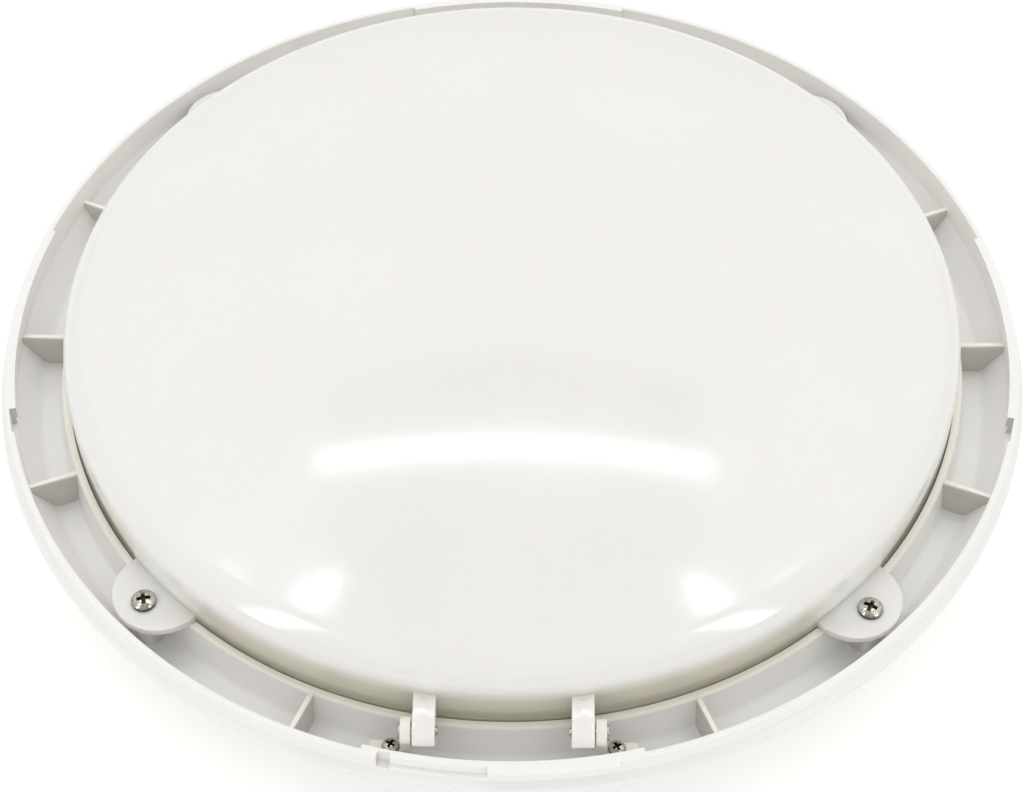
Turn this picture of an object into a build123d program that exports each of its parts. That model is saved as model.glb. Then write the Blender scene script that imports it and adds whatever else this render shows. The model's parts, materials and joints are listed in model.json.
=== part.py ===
from build123d import *
import math
import os

# Round emergency ceiling light. A moulded base with a ribbed channel round it carries an opal
# diffuser on a hinge; four ear screws hold the diffuser down. The lamp boards sit on a steel
# tray inside, with the driver, the emergency module, the battery and the terminals behind it.
# Millimetres. The back face lies on z = 0 against the ceiling, the diffuser points up (+Z),
# the hinge is at the front (-Y) and the origin is the centre of the back face.
# Azimuths turn about +Z from the front and are positive towards +X.

# Main radius: top of the inner wall of the channel, on its outer side
channel_inner_radius = 154.3

# Widths that build the base outwards and inwards from the main radius
channel_width = 16.2
lip_thickness = 2.2
flange_overhang = 2.2
wall_top_thickness = 2.2
seal_width = 6.6
kerb_width = 2.0
lip_inner_radius = channel_inner_radius + channel_width
lip_outer_radius = lip_inner_radius + lip_thickness
flange_radius = lip_outer_radius + flange_overhang
seal_seat_radius = channel_inner_radius - wall_top_thickness
kerb_radius = seal_seat_radius - seal_width
pan_radius = kerb_radius - kerb_width

# Battery of cells in line, which sets the depth of the pan
cell_radius = 11.2
cell_length = 42.5
cell_count = 4
cell_button_radius = 4.5
cell_button_length = 1.0
end_cap_wall = 1.5
end_cap_depth = 8.0
battery_y = 62.0
battery_lift = 0.5
seat_clearance = 0.05

# Heights, from the back plate up to the crown of the diffuser
back_thickness = 2.5
wall_thickness = 2.3
battery_headroom = 1.5
seal_depth = 8.6
seal_thickness = 3.2
ear_gap = 0.3
lip_rise = 6.4
channel_depth = 20.0
cap_inner_radius = cell_radius + seat_clearance
cap_outer_radius = cap_inner_radius + end_cap_wall
battery_z = back_thickness + battery_lift + cap_outer_radius
tray_underside = battery_z + cap_outer_radius + battery_headroom
seal_ledge = tray_underside
wall_height = seal_ledge + seal_depth
lip_height = wall_height + lip_rise
channel_floor = lip_height - channel_depth
skirt_bottom = seal_ledge + seal_thickness + ear_gap

# Section of lip, flange and channel, as drops below the lip and steps in radius
lip_draft = 0.8
lip_rounding = 0.5
flange_top_drop = 5.4
flange_edge_drop = 7.3
flange_edge_height = 1.3
slope_drop = 9.5
channel_floor_width = 9.0
wall_draft = 1.4
channel_rounding = 1.5
kerb_height = 1.5

# Ribs across the channel and gussets under it
rib_thickness = 1.6
rib_azimuths = (22.5, 67.5, 90.0, 112.5, 157.5, 180.0, 202.5, 247.5, 270.0, 292.5, 337.5)
merge = 0.8
gusset_thickness = 2.0
gusset_count = 12
gusset_foot = 3.0

# Diffuser, built up from the lip and in from the seal seat
skirt_side_gap = 0.6
side_rise = 9.2
shoulder_rise = 9.2
shoulder_run = 7.5
dome_rise = 26.6
diffuser_wall = 2.2
side_radius = seal_seat_radius - skirt_side_gap
crease_radius = side_radius - shoulder_run
shoulder_height = lip_height + side_rise
crease_height = shoulder_height + shoulder_rise
crown_height = crease_height + dome_rise

# Ears of the diffuser, their bosses, inserts and screws
ear_names = ("front_right", "rear_right", "rear_left", "front_left")
ear_azimuths = (45.5, 134.5, 225.5, 314.5)
ear_hole_reach = 4.9
ear_centre_reach = 1.2
ear_radius = 15.3
ear_thickness = 2.2
ear_hole_radius = 2.4
ear_boss_radius = 5.4
ear_web_thickness = 2.0
insert_radius = 3.2
insert_length = 8.0
insert_bore_radius = 2.3
insert_recess = 0.3
insert_groove_depth = 0.4
insert_groove_width = 1.4
ear_head_radius = 4.0
ear_head_height = 2.4
ear_shank_radius = 1.75
ear_point_radius = 1.0
ear_point_length = 3.0
ear_shank_length = 7.0
ear_hole_place = channel_inner_radius + ear_hole_reach
ear_underside = wall_height + ear_gap
ear_top = ear_underside + ear_thickness

# Hinge, standing in the channel outside the inner wall
hinge_reach = 5.2
hinge_rise = 0.5
arm_inner_x = 20.3
arm_width = 6.8
arm_eye_radius = 5.2
bracket_side_gap = 0.45
lug_width = 3.2
knuckle_radius = 4.2
foot_length = 13.2
foot_rise = 9.5
foot_thickness = 2.8
foot_back = 5.1
foot_front = 1.9
foot_pad_width = 2.8
foot_pad_height = 1.2
pin_radius = 1.5
pin_running_fit = 0.05
pin_head_radius = 2.4
pin_head_length = 0.8
pin_end_length = 0.7
hinge_screw_inset = 6.55
hinge_screw_back = 0.9
hinge_head_radius = 2.7
hinge_head_height = 2.2
hinge_shank_radius = 1.3
hinge_shank_length = 7.5
hinge_boss_radius = 3.4
pilot_relief = 1.0
screw_point_radius = 0.8
screw_point_length = 1.0
hinge_y = -channel_inner_radius - hinge_reach
hinge_z = lip_height + hinge_rise
lug_inner_x = arm_inner_x + arm_width + bracket_side_gap
lug_outer_x = lug_inner_x + lug_width
foot_top = channel_floor + foot_rise
foot_underside = foot_top - foot_thickness
foot_back_y = hinge_y + foot_back
foot_front_y = hinge_y - foot_front
hinge_screw_x = lug_inner_x + hinge_screw_inset
hinge_screw_y = hinge_y + hinge_screw_back

# Stations of the lip where a trim ring locks on
station_step = 1.3
station_depth = 5.0
station_spans = ((-11.3, 11.7), (77.3, 105.0), (166.2, 193.8), (255.0, 282.7))
side_notch_spans = ((73.9, 77.3), (282.7, 286.1))
side_notch_depth = 0.9
side_notch_height = 8.0
entry_notch_span = (-12.6, -11.3)
entry_notch_step = 0.2
entry_span = (-11.3, -1.5)
entry_step = 1.3
entry_depth = 3.5
hook_span = (-1.5, 11.6)
hook_reach = 1.1
hook_height = 2.3
hook_groove_height = 1.7
hook_groove_depth = 0.8
station_inner_radius = lip_inner_radius - station_step
hook_radius = lip_outer_radius + hook_reach

# Back plate: fixing holes, conduit box holes and cable entries
fixing_pcd = 230.0
fixing_azimuths = (60.0, 180.0, 300.0)
fixing_hole_radius = 2.75
fixing_boss_radius = 8.0
fixing_boss_height = 2.0
box_spacing = 50.8
box_hole_radius = 2.25
cable_entry_radius = 10.0
cable_collar_wall = 2.5
cable_collar_height = 6.0
spare_entry_x = -60.0
plug_flange_radius = 12.0
plug_flange_thickness = 1.5

# Gear tray, its posts and screws
tray_thickness = 1.0
tray_gap = 0.8
tray_skirt = 4.0
post_inset = 12.5
post_azimuths = (45.0, 135.0, 225.0, 315.0)
post_radius = 4.5
tray_screw_head_radius = 3.2
tray_screw_head_height = 2.0
tray_screw_radius = 1.5
tray_screw_length = 10.0
post_place_radius = pan_radius - post_inset
tray_radius = pan_radius - tray_gap
tray_top = tray_underside + tray_thickness

# Lamp boards, set in from the edge of the pan
board_inset = 31.5
board_width = 20.0
board_thickness = 1.2
board_count = 4
board_gap_angle = 5.0
chip_inset = 6.0
chip_length = 3.4
chip_width = 3.0
chip_height = 0.8
chips_per_board = 12
rivet_radius = 1.5
rivet_head_radius = 2.6
rivet_head_height = 0.8
rivet_tail = 1.2
rivet_half_angle = 30.0
rivet_inset = 5.0
emergency_board_radius = 22.0
emergency_rivet_spacing = 34.0
lens_radius = 8.0
lens_height = 6.0
lens_rim = 1.0
board_outer_radius = pan_radius - board_inset
board_inner_radius = board_outer_radius - board_width
board_top = tray_top + board_thickness

# Gear cases behind the tray
driver_size = (96.0, 26.0, 19.0)
driver_inset = 45.5
module_size = (130.0, 32.0, 21.0)
module_step = 43.0
case_rounding = 1.5
case_tab_length = 10.0
case_tab_width = 12.0
case_tab_thickness = 2.5
gear_screw_head_radius = 2.9
gear_screw_head_height = 1.8
gear_screw_radius = 1.4
gear_screw_length = 7.0
gear_pad_radius = 3.8
gear_pad_height = 5.0
driver_y = driver_inset - pan_radius
module_y = driver_y + module_step
case_places = ((driver_size, driver_y), (module_size, module_y))

# Battery saddles and terminals
holder_width = 12.0
holder_wall = 2.2
holder_x = 43.0
holder_grip = 4.0
terminal_size = (22.0, 36.0, 17.0)
terminal_place = (53.0, 2.0)
terminal_poles = 3
terminal_pitch = 11.0
terminal_bore_radius = 2.4
terminal_bore_depth = 8.0
terminal_bore_z = 9.0
terminal_screw_radius = 2.0
terminal_screw_depth = 5.0
terminal_screw_sink = 1.5
terminal_screw_row = 6.0

# Test button, its switch and the charge indicator
switch_size = (34.0, 12.0, 8.0)
switch_x = 6.0
switch_inset = 19.5
button_offset = -6.0
button_radius = 3.0
button_flange_radius = 3.9
button_flange_thickness = 1.5
button_rise = 3.5
button_depth = 3.0
button_travel = 2.0
button_gap = 0.3
indicator_offset = 6.0
indicator_radius = 1.5
indicator_rise = 2.0
indicator_depth = 3.0
switch_place = (switch_x, switch_inset - pan_radius)
button_x = switch_x + button_offset
indicator_x = switch_x + indicator_offset
button_top = tray_top + button_rise
button_bottom = tray_underside - button_depth
indicator_top = tray_top + indicator_rise
indicator_bottom = tray_underside - indicator_depth

# Leads and what holds them
lead_radius = 1.2
lead_bend = 6.0
lead_tight_bend = 3.0
lead_gap = 0.3
low_lead_z = 14.5
high_lead_z = 18.0
tray_lead_rise = 4.0
right_lane_x = 74.0
battery_lane_x = -98.0
grommet_radius = 4.5
grommet_flange = 1.2
grommet_flange_thickness = 1.2
connector_size = (6.0, 6.0, 5.0)
board_connector_step = 14.0
emergency_pass_x = 34.0
emergency_connector = (14.0, -8.0)
clip_size = (5.0, 6.0)
low_clip_step = 4.0
high_clip_y = 10.0
tray_lead_z = tray_top + tray_lead_rise
board_pass_radius = board_outer_radius + grommet_radius + 2 * grommet_flange
board_pass = (-math.sqrt(board_pass_radius**2 - driver_y**2), driver_y)
emergency_pass = (emergency_pass_x, emergency_connector[1])
board_connector = (board_pass[0], board_pass[1] + board_connector_step)


def at(radius, azimuth, height=0.0):
    """Point at a radius and an azimuth from the front."""
    turn = math.radians(azimuth)
    return (radius * math.sin(turn), -radius * math.cos(turn), height)


def radial_plane(azimuth):
    """Upright plane through the axis: local x runs outwards at the azimuth, local y runs up."""
    turn = math.radians(azimuth)
    outwards = (math.sin(turn), -math.cos(turn), 0)
    normal = (-math.cos(turn), -math.sin(turn), 0)
    return Plane(origin=(0, 0, 0), x_dir=outwards, z_dir=normal)


def ring_sector(inner, outer, span):
    """Face of a ring between two radii and two azimuths."""
    start, end = span
    middle = (start + end) / 2
    with BuildLine() as outline:
        Line(at(inner, start), at(outer, start))
        ThreePointArc(at(outer, start), at(outer, middle), at(outer, end))
        Line(at(outer, end), at(inner, end))
        ThreePointArc(at(inner, end), at(inner, middle), at(inner, start))
    make_face(outline.edges())


def pan_head_screw(head_radius, head_height, shank_radius, length, point_radius, point_length):
    """Pan-head screw with a cross recess: head on z = 0 pointing up, shank pointing down."""
    with BuildPart() as screw:
        with BuildSketch(Plane.XZ):
            with BuildLine():
                Polyline(
                    (0, head_height),
                    (0, -length),
                    (point_radius, -length),
                    (shank_radius, point_length - length),
                    (shank_radius, 0),
                    (head_radius, 0),
                    (head_radius, head_height * 0.35),
                )
                TangentArc((0, head_height), (head_radius, head_height * 0.35), tangent=(1, 0))
            make_face()
        revolve(axis=Axis.Z)
        with BuildSketch(Plane.XY.offset(head_height)):
            Rectangle(head_radius * 1.15, head_radius * 0.24)
            Rectangle(head_radius * 0.24, head_radius * 1.15)
        extrude(amount=-head_height * 0.55, mode=Mode.SUBTRACT)
    return screw.part


def gear_case(size):
    """Closed gear case standing on z = 0 along X, with a screw tab at each end."""
    length, width, height = size
    tab_reach = length + 2 * case_tab_length
    with BuildPart() as case:
        with BuildSketch(Plane.XY):
            RectangleRounded(length, width, case_rounding)
        extrude(amount=height)
        fillet(case.faces().sort_by(Axis.Z)[-1].edges(), case_rounding * 0.6)
        with BuildSketch(Plane.XY.offset(gear_pad_height)):
            SlotOverall(tab_reach, case_tab_width)
        extrude(amount=case_tab_thickness)
        with Locations((tab_reach / 2 - case_tab_width / 2, 0), (case_tab_width / 2 - tab_reach / 2, 0)):
            Hole(gear_screw_radius + seat_clearance)
    return case.part


def lead(points, radii):
    """Round lead along straight runs joined by tangent bends."""
    with BuildPart() as run:
        with BuildLine() as route:
            FilletPolyline(*points, radius=radii)
        with BuildSketch(Plane(route.line @ 0, z_dir=route.line % 0)):
            Circle(lead_radius)
        sweep()
    return run.part


os.makedirs("parts", exist_ok=True)

# Base housing. The section runs out along the back, up the outside of the flange and lip, down
# into the channel and back over the inner wall and the seal seat to the floor of the pan.
slope_top_radius = lip_inner_radius - lip_draft
slope_foot_radius = channel_inner_radius + channel_floor_width
slope_height = lip_height - slope_drop
channel_foot_radius = channel_inner_radius + wall_draft
slope_run = slope_top_radius - slope_foot_radius
slope_rise = slope_height - channel_floor
slope_length = math.hypot(slope_run, slope_rise)
outside_offset = wall_thickness * slope_length / slope_rise
floor_underside = channel_floor - wall_thickness
ledge_underside = seal_ledge - wall_thickness
pan_outer_radius = pan_radius + wall_thickness
core_radius = channel_foot_radius - wall_thickness
slope_base_radius = slope_foot_radius + outside_offset - wall_thickness * slope_run / slope_rise
slope_end_radius = slope_top_radius + outside_offset - slope_run / slope_rise
flange_edge_top = lip_height - flange_edge_drop

with BuildPart() as base_housing:
    with BuildSketch(Plane.XZ) as housing_section:
        with BuildLine():
            Polyline(
                (0, 0),
                (pan_outer_radius, 0),
                (pan_outer_radius, ledge_underside),
                (core_radius, ledge_underside),
                (core_radius, floor_underside),
                (slope_base_radius, floor_underside),
                (slope_end_radius, slope_height - 1),
                (flange_radius, flange_edge_top - flange_edge_height),
                (flange_radius, flange_edge_top),
                (lip_outer_radius, lip_height - flange_top_drop),
                (lip_outer_radius, lip_height),
                (lip_inner_radius, lip_height),
                (slope_top_radius, slope_height),
                (slope_foot_radius, channel_floor),
                (channel_foot_radius, channel_floor),
                (channel_inner_radius, wall_height),
                (seal_seat_radius, wall_height),
                (seal_seat_radius, seal_ledge),
                (kerb_radius, seal_ledge),
                (kerb_radius, seal_ledge + kerb_height),
                (pan_radius, seal_ledge + kerb_height),
                (pan_radius, back_thickness),
                (0, back_thickness),
                close=True,
            )
        make_face()
        for corner in ((lip_inner_radius, lip_height), (lip_outer_radius, lip_height)):
            fillet(housing_section.vertices().sort_by_distance((*corner, 0))[0], lip_rounding)
        for corner in ((slope_foot_radius, channel_floor), (channel_foot_radius, channel_floor)):
            fillet(housing_section.vertices().sort_by_distance((*corner, 0))[0], channel_rounding)
    revolve(axis=Axis.Z)

    # Ribs across the channel, sunk a little into the walls and the floor
    for azimuth in rib_azimuths:
        with BuildSketch(radial_plane(azimuth)):
            with BuildLine():
                Polyline(
                    (channel_inner_radius - merge, channel_floor - merge),
                    (slope_foot_radius, channel_floor - merge),
                    (slope_top_radius + merge, slope_height),
                    (slope_top_radius + merge, wall_height),
                    (channel_inner_radius - merge, wall_height),
                    close=True,
                )
            make_face()
        extrude(amount=rib_thickness / 2, both=True)

    # Gussets from the outside of the pan to the underside of the channel
    for index in range(gusset_count):
        with BuildSketch(radial_plane((index + 0.5) * 360 / gusset_count)):
            with BuildLine():
                Polyline(
                    (pan_outer_radius - merge, gusset_foot),
                    (pan_outer_radius + merge, gusset_foot),
                    (slope_foot_radius - gusset_foot, floor_underside + merge),
                    (core_radius, floor_underside + merge),
                    (core_radius, ledge_underside + merge),
                    (pan_outer_radius - merge, ledge_underside + merge),
                    close=True,
                )
            make_face()
        extrude(amount=gusset_thickness / 2, both=True)

    # Boss with an outer web under each ear
    for azimuth in ear_azimuths:
        with BuildSketch(Plane.XY.offset(channel_floor - merge)):
            with Locations(at(ear_hole_place, azimuth)):
                Circle(ear_boss_radius)
        extrude(amount=wall_height - channel_floor + merge)
        with BuildSketch(radial_plane(azimuth)):
            with BuildLine():
                Polyline(
                    (ear_hole_place, channel_floor - merge),
                    (slope_foot_radius, channel_floor - merge),
                    (slope_top_radius + merge, slope_height),
                    (ear_hole_place, slope_height),
                    close=True,
                )
            make_face()
        extrude(amount=ear_web_thickness / 2, both=True)
        with BuildSketch(Plane.XY.offset(wall_height)):
            with Locations(at(ear_hole_place, azimuth)):
                Circle(insert_radius + seat_clearance)
        extrude(amount=-insert_recess - insert_length, mode=Mode.SUBTRACT)

    # Boss for each bracket screw
    for side in (-1, 1):
        with BuildSketch(Plane.XY.offset(channel_floor - merge)):
            with Locations((side * hinge_screw_x, hinge_screw_y)):
                Circle(hinge_boss_radius)
        extrude(amount=foot_underside - channel_floor + merge)
        with BuildSketch(Plane.XY.offset(foot_underside)):
            with Locations((side * hinge_screw_x, hinge_screw_y)):
                Circle(hinge_shank_radius + seat_clearance)
        extrude(amount=foot_thickness - hinge_shank_length - pilot_relief, mode=Mode.SUBTRACT)

    # Stations of the lip, with a notch beside each side station
    for span in station_spans:
        with BuildSketch(Plane.XY.offset(lip_height - station_depth)):
            ring_sector(station_inner_radius, lip_outer_radius - merge, span)
        extrude(amount=station_depth)
    for span in side_notch_spans:
        with BuildSketch(Plane.XY.offset(lip_height)):
            ring_sector(slope_top_radius - merge, lip_inner_radius + side_notch_depth, span)
        extrude(amount=-side_notch_height, mode=Mode.SUBTRACT)

    # Front station: entry notch, set-back entry half, hook ledge and the groove under it
    with BuildSketch(Plane.XY.offset(lip_height)):
        ring_sector(lip_inner_radius + entry_notch_step, flange_radius, entry_notch_span)
        ring_sector(lip_outer_radius - entry_step, flange_radius, entry_span)
    extrude(amount=-entry_depth, mode=Mode.SUBTRACT)
    with BuildSketch(Plane.XY.offset(lip_height)):
        ring_sector(station_inner_radius, hook_radius, hook_span)
    extrude(amount=-hook_height)
    with BuildSketch(Plane.XY.offset(lip_height - hook_height)):
        ring_sector(lip_outer_radius - hook_groove_depth, hook_radius + merge, hook_span)
    extrude(amount=-hook_groove_height, mode=Mode.SUBTRACT)

    # Posts of the gear tray and pads of the gear cases, drilled for their screws
    with BuildSketch(Plane.XY.offset(back_thickness - merge)):
        for azimuth in post_azimuths:
            with Locations(at(post_place_radius, azimuth)):
                Circle(post_radius)
    extrude(amount=tray_underside - back_thickness + merge)
    with BuildSketch(Plane.XY.offset(back_thickness - merge)):
        for case_size, case_y in case_places:
            pad_x = case_size[0] / 2 + case_tab_length - case_tab_width / 2
            with Locations((pad_x, case_y), (-pad_x, case_y)):
                Circle(gear_pad_radius)
    extrude(amount=gear_pad_height + merge)
    with BuildSketch(Plane.XY.offset(tray_underside)):
        for azimuth in post_azimuths:
            with Locations(at(post_place_radius, azimuth)):
                Circle(tray_screw_radius + seat_clearance)
    extrude(amount=-tray_screw_length, mode=Mode.SUBTRACT)
    with BuildSketch(Plane.XY.offset(back_thickness + gear_pad_height)):
        for case_size, case_y in case_places:
            pad_x = case_size[0] / 2 + case_tab_length - case_tab_width / 2
            with Locations((pad_x, case_y), (-pad_x, case_y)):
                Circle(gear_screw_radius + seat_clearance)
    extrude(amount=-gear_pad_height, mode=Mode.SUBTRACT)

    # Back plate: bosses at the fixing holes, collar at the cable entry, then all the holes
    with BuildSketch(Plane.XY.offset(back_thickness - merge)):
        for azimuth in fixing_azimuths:
            with Locations(at(fixing_pcd / 2, azimuth)):
                Circle(fixing_boss_radius)
    extrude(amount=fixing_boss_height + merge)
    with BuildSketch(Plane.XY.offset(back_thickness - merge)):
        Circle(cable_entry_radius + cable_collar_wall)
    extrude(amount=cable_collar_height + merge)
    with BuildSketch(Plane.XY):
        for azimuth in fixing_azimuths:
            with Locations(at(fixing_pcd / 2, azimuth)):
                Circle(fixing_hole_radius)
        with Locations((box_spacing / 2, 0), (-box_spacing / 2, 0)):
            Circle(box_hole_radius)
        with Locations((0, 0), (spare_entry_x, 0)):
            Circle(cable_entry_radius)
    extrude(amount=back_thickness + cable_collar_height, mode=Mode.SUBTRACT)
base_housing.part.label = "base_housing"
export_step(base_housing.part, "parts/base_housing.step")

# Seal lying in its seat, just below the skirt of the diffuser
with BuildPart() as sealing_gasket:
    with BuildSketch(Plane.XY.offset(seal_ledge)):
        Circle(seal_seat_radius - seat_clearance)
        Circle(kerb_radius + seat_clearance, mode=Mode.SUBTRACT)
    extrude(amount=seal_thickness)
sealing_gasket.part.label = "sealing_gasket"
export_step(sealing_gasket.part, "parts/sealing_gasket.step")

# Threaded brass inserts in the ear bosses
with BuildPart() as insert_form:
    with BuildSketch(Plane.XZ):
        with BuildLine():
            Polyline(
                (insert_bore_radius, 0),
                (insert_radius, 0),
                (insert_radius, (insert_groove_width - insert_length) / 2),
                (insert_radius - insert_groove_depth, (insert_groove_width - insert_length) / 2),
                (insert_radius - insert_groove_depth, -(insert_groove_width + insert_length) / 2),
                (insert_radius, -(insert_groove_width + insert_length) / 2),
                (insert_radius, -insert_length),
                (insert_bore_radius, -insert_length),
                close=True,
            )
        make_face()
    revolve(axis=Axis.Z)
with BuildPart() as ear_inserts:
    for azimuth in ear_azimuths:
        with Locations(at(ear_hole_place, azimuth, wall_height - insert_recess)):
            add(insert_form.part)
ear_inserts.part.label = "ear_inserts"
export_step(ear_inserts.part, "parts/ear_inserts.step")

# Hinge brackets: an upright lug with the knuckle, and a foot screwed to the boss in the channel
foot_middle_y = (foot_back_y + foot_front_y) / 2
for side, side_name in ((-1, "left"), (1, "right")):
    with BuildPart() as hinge_bracket:
        with BuildSketch(Plane.YZ.offset(side * lug_inner_x)):
            with BuildLine():
                Polyline(
                    (hinge_y - knuckle_radius, hinge_z),
                    (foot_front_y, foot_underside),
                    (foot_back_y, foot_underside),
                    (hinge_y + knuckle_radius, hinge_z),
                    close=True,
                )
            make_face()
            with Locations((hinge_y, hinge_z)):
                Circle(knuckle_radius)
        extrude(amount=side * lug_width)
        with BuildSketch(Plane.XY.offset(foot_underside)):
            with Locations((side * (lug_inner_x + foot_length / 2), foot_middle_y)):
                Rectangle(foot_length, foot_back_y - foot_front_y)
        extrude(amount=foot_thickness)
        with BuildSketch(Plane.XY.offset(foot_top)):
            pad_centre = lug_inner_x + foot_length - foot_pad_width / 2
            with Locations((side * pad_centre, foot_middle_y)):
                Rectangle(foot_pad_width, foot_back_y - foot_front_y)
        extrude(amount=foot_pad_height)
        with BuildSketch(Plane.XY.offset(foot_top)):
            with Locations((side * hinge_screw_x, hinge_screw_y)):
                Circle(hinge_shank_radius + seat_clearance)
        extrude(amount=-foot_thickness, mode=Mode.SUBTRACT)
        with BuildSketch(Plane.YZ.offset(side * lug_inner_x)):
            with Locations((hinge_y, hinge_z)):
                Circle(pin_radius + seat_clearance)
        extrude(amount=side * lug_width, mode=Mode.SUBTRACT)
    hinge_bracket.part.label = f"hinge_bracket_{side_name}"
    export_step(hinge_bracket.part, f"parts/hinge_bracket_{side_name}.step")

# Hinge pins: head outside the lug, body through the lug and the arm
with BuildPart() as hinge_pins:
    for side in (-1, 1):
        with BuildSketch(Plane.YZ.offset(side * (arm_inner_x - pin_end_length))):
            with Locations((hinge_y, hinge_z)):
                Circle(pin_radius)
        extrude(amount=side * (lug_outer_x - arm_inner_x + pin_end_length))
        with BuildSketch(Plane.YZ.offset(side * lug_outer_x)):
            with Locations((hinge_y, hinge_z)):
                Circle(pin_head_radius)
        extrude(amount=side * pin_head_length)
hinge_pins.part.label = "hinge_pins"
export_step(hinge_pins.part, "parts/hinge_pins.step")

# Screws of the bracket feet
hinge_screw_form = pan_head_screw(
    hinge_head_radius,
    hinge_head_height,
    hinge_shank_radius,
    hinge_shank_length,
    screw_point_radius,
    screw_point_length,
)
with BuildPart() as hinge_screws:
    with Locations((hinge_screw_x, hinge_screw_y, foot_top), (-hinge_screw_x, hinge_screw_y, foot_top)):
        add(hinge_screw_form)
hinge_screws.part.label = "hinge_screws"
export_step(hinge_screws.part, "parts/hinge_screws.step")

# Gear tray: a sheet disc with a turned-down edge, standing on the four posts
board_centres = [index * 360 / board_count for index in range(board_count)]
rivet_places = [
    at(board_outer_radius - rivet_inset, centre + turn)
    for centre in board_centres
    for turn in (-rivet_half_angle, rivet_half_angle)
]
rivet_places += [(-emergency_rivet_spacing / 2, 0, 0), (emergency_rivet_spacing / 2, 0, 0)]
with BuildPart() as gear_tray:
    with BuildSketch(Plane.XZ):
        with BuildLine():
            Polyline(
                (0, tray_underside),
                (tray_radius - tray_thickness, tray_underside),
                (tray_radius - tray_thickness, tray_underside - tray_skirt),
                (tray_radius, tray_underside - tray_skirt),
                (tray_radius, tray_top),
                (0, tray_top),
                close=True,
            )
        make_face()
    revolve(axis=Axis.Z)
    with BuildSketch(Plane.XY.offset(tray_underside)):
        with Locations(rivet_places):
            Circle(rivet_radius + seat_clearance)
        for azimuth in post_azimuths:
            with Locations(at(post_place_radius, azimuth)):
                Circle(tray_screw_radius + seat_clearance)
        with Locations(board_pass, emergency_pass):
            Circle(grommet_radius + seat_clearance)
        with Locations((button_x, switch_place[1])):
            Circle(button_radius + button_gap)
        with Locations((indicator_x, switch_place[1])):
            Circle(indicator_radius + seat_clearance)
    extrude(amount=tray_thickness, mode=Mode.SUBTRACT)
gear_tray.part.label = "gear_tray"
export_step(gear_tray.part, "parts/gear_tray.step")

tray_screw_form = pan_head_screw(
    tray_screw_head_radius,
    tray_screw_head_height,
    tray_screw_radius,
    tray_screw_length,
    screw_point_radius,
    screw_point_length,
)
with BuildPart() as tray_screws:
    with Locations([at(post_place_radius, azimuth, tray_top) for azimuth in post_azimuths]):
        add(tray_screw_form)
tray_screws.part.label = "tray_screws"
export_step(tray_screws.part, "parts/tray_screws.step")

# Lamp boards: four ring segments on the tray
with BuildPart() as led_boards:
    with BuildSketch(Plane.XY.offset(tray_top)):
        for centre in board_centres:
            half = (360 / board_count - board_gap_angle) / 2
            ring_sector(board_inner_radius, board_outer_radius, (centre - half, centre + half))
        with Locations(rivet_places):
            Circle(rivet_radius + seat_clearance, mode=Mode.SUBTRACT)
    extrude(amount=board_thickness)
led_boards.part.label = "led_boards"
export_step(led_boards.part, "parts/led_boards.step")

with BuildPart() as led_chips:
    with BuildSketch(Plane.XY.offset(board_top)):
        chip_count = board_count * chips_per_board
        with PolarLocations(board_inner_radius + chip_inset, chip_count, start_angle=180 / chip_count):
            Rectangle(chip_width, chip_length)
    extrude(amount=chip_height)
led_chips.part.label = "led_chips"
export_step(led_chips.part, "parts/led_chips.step")

with BuildPart() as emergency_board:
    with BuildSketch(Plane.XY.offset(tray_top)):
        Circle(emergency_board_radius)
        with Locations(rivet_places):
            Circle(rivet_radius + seat_clearance, mode=Mode.SUBTRACT)
    extrude(amount=board_thickness)
emergency_board.part.label = "emergency_board"
export_step(emergency_board.part, "parts/emergency_board.step")

with BuildPart() as emergency_lens:
    with BuildSketch(Plane.XZ):
        with BuildLine():
            Polyline(
                (0, board_top + lens_height),
                (0, board_top),
                (lens_radius + lens_rim, board_top),
                (lens_radius + lens_rim, board_top + lens_rim),
                (lens_radius, board_top + lens_rim),
            )
            TangentArc((0, board_top + lens_height), (lens_radius, board_top + lens_rim), tangent=(1, 0))
        make_face()
    revolve(axis=Axis.Z)
emergency_lens.part.label = "emergency_lens"
export_step(emergency_lens.part, "parts/emergency_lens.step")

# Rivets through the boards and the tray, with a small closing head below
with BuildPart() as board_rivets:
    for head_z, radius, height in (
        (board_top, rivet_head_radius, rivet_head_height),
        (tray_underside, rivet_radius, board_top - tray_underside),
        (tray_underside - rivet_tail, rivet_head_radius - rivet_tail / 2, rivet_tail),
    ):
        with BuildSketch(Plane.XY.offset(head_z)):
            with Locations(rivet_places):
                Circle(radius)
        extrude(amount=height)
board_rivets.part.label = "board_rivets"
export_step(board_rivets.part, "parts/board_rivets.step")

# Driver and emergency module on their pads, with their screws
driver_form = gear_case(driver_size)
with BuildPart() as led_driver:
    with Locations((0, driver_y, back_thickness)):
        add(driver_form)
led_driver.part.label = "led_driver"
export_step(led_driver.part, "parts/led_driver.step")

module_form = gear_case(module_size)
with BuildPart() as emergency_module:
    with Locations((0, module_y, back_thickness)):
        add(module_form)
emergency_module.part.label = "emergency_module"
export_step(emergency_module.part, "parts/emergency_module.step")

gear_screw_form = pan_head_screw(
    gear_screw_head_radius,
    gear_screw_head_height,
    gear_screw_radius,
    gear_screw_length,
    screw_point_radius,
    screw_point_length,
)
gear_screw_z = back_thickness + gear_pad_height + case_tab_thickness
with BuildPart() as gear_screws:
    for case_size, case_y in case_places:
        pad_x = case_size[0] / 2 + case_tab_length - case_tab_width / 2
        with Locations((pad_x, case_y, gear_screw_z), (-pad_x, case_y, gear_screw_z)):
            add(gear_screw_form)
gear_screws.part.label = "gear_screws"
export_step(gear_screws.part, "parts/gear_screws.step")

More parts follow.
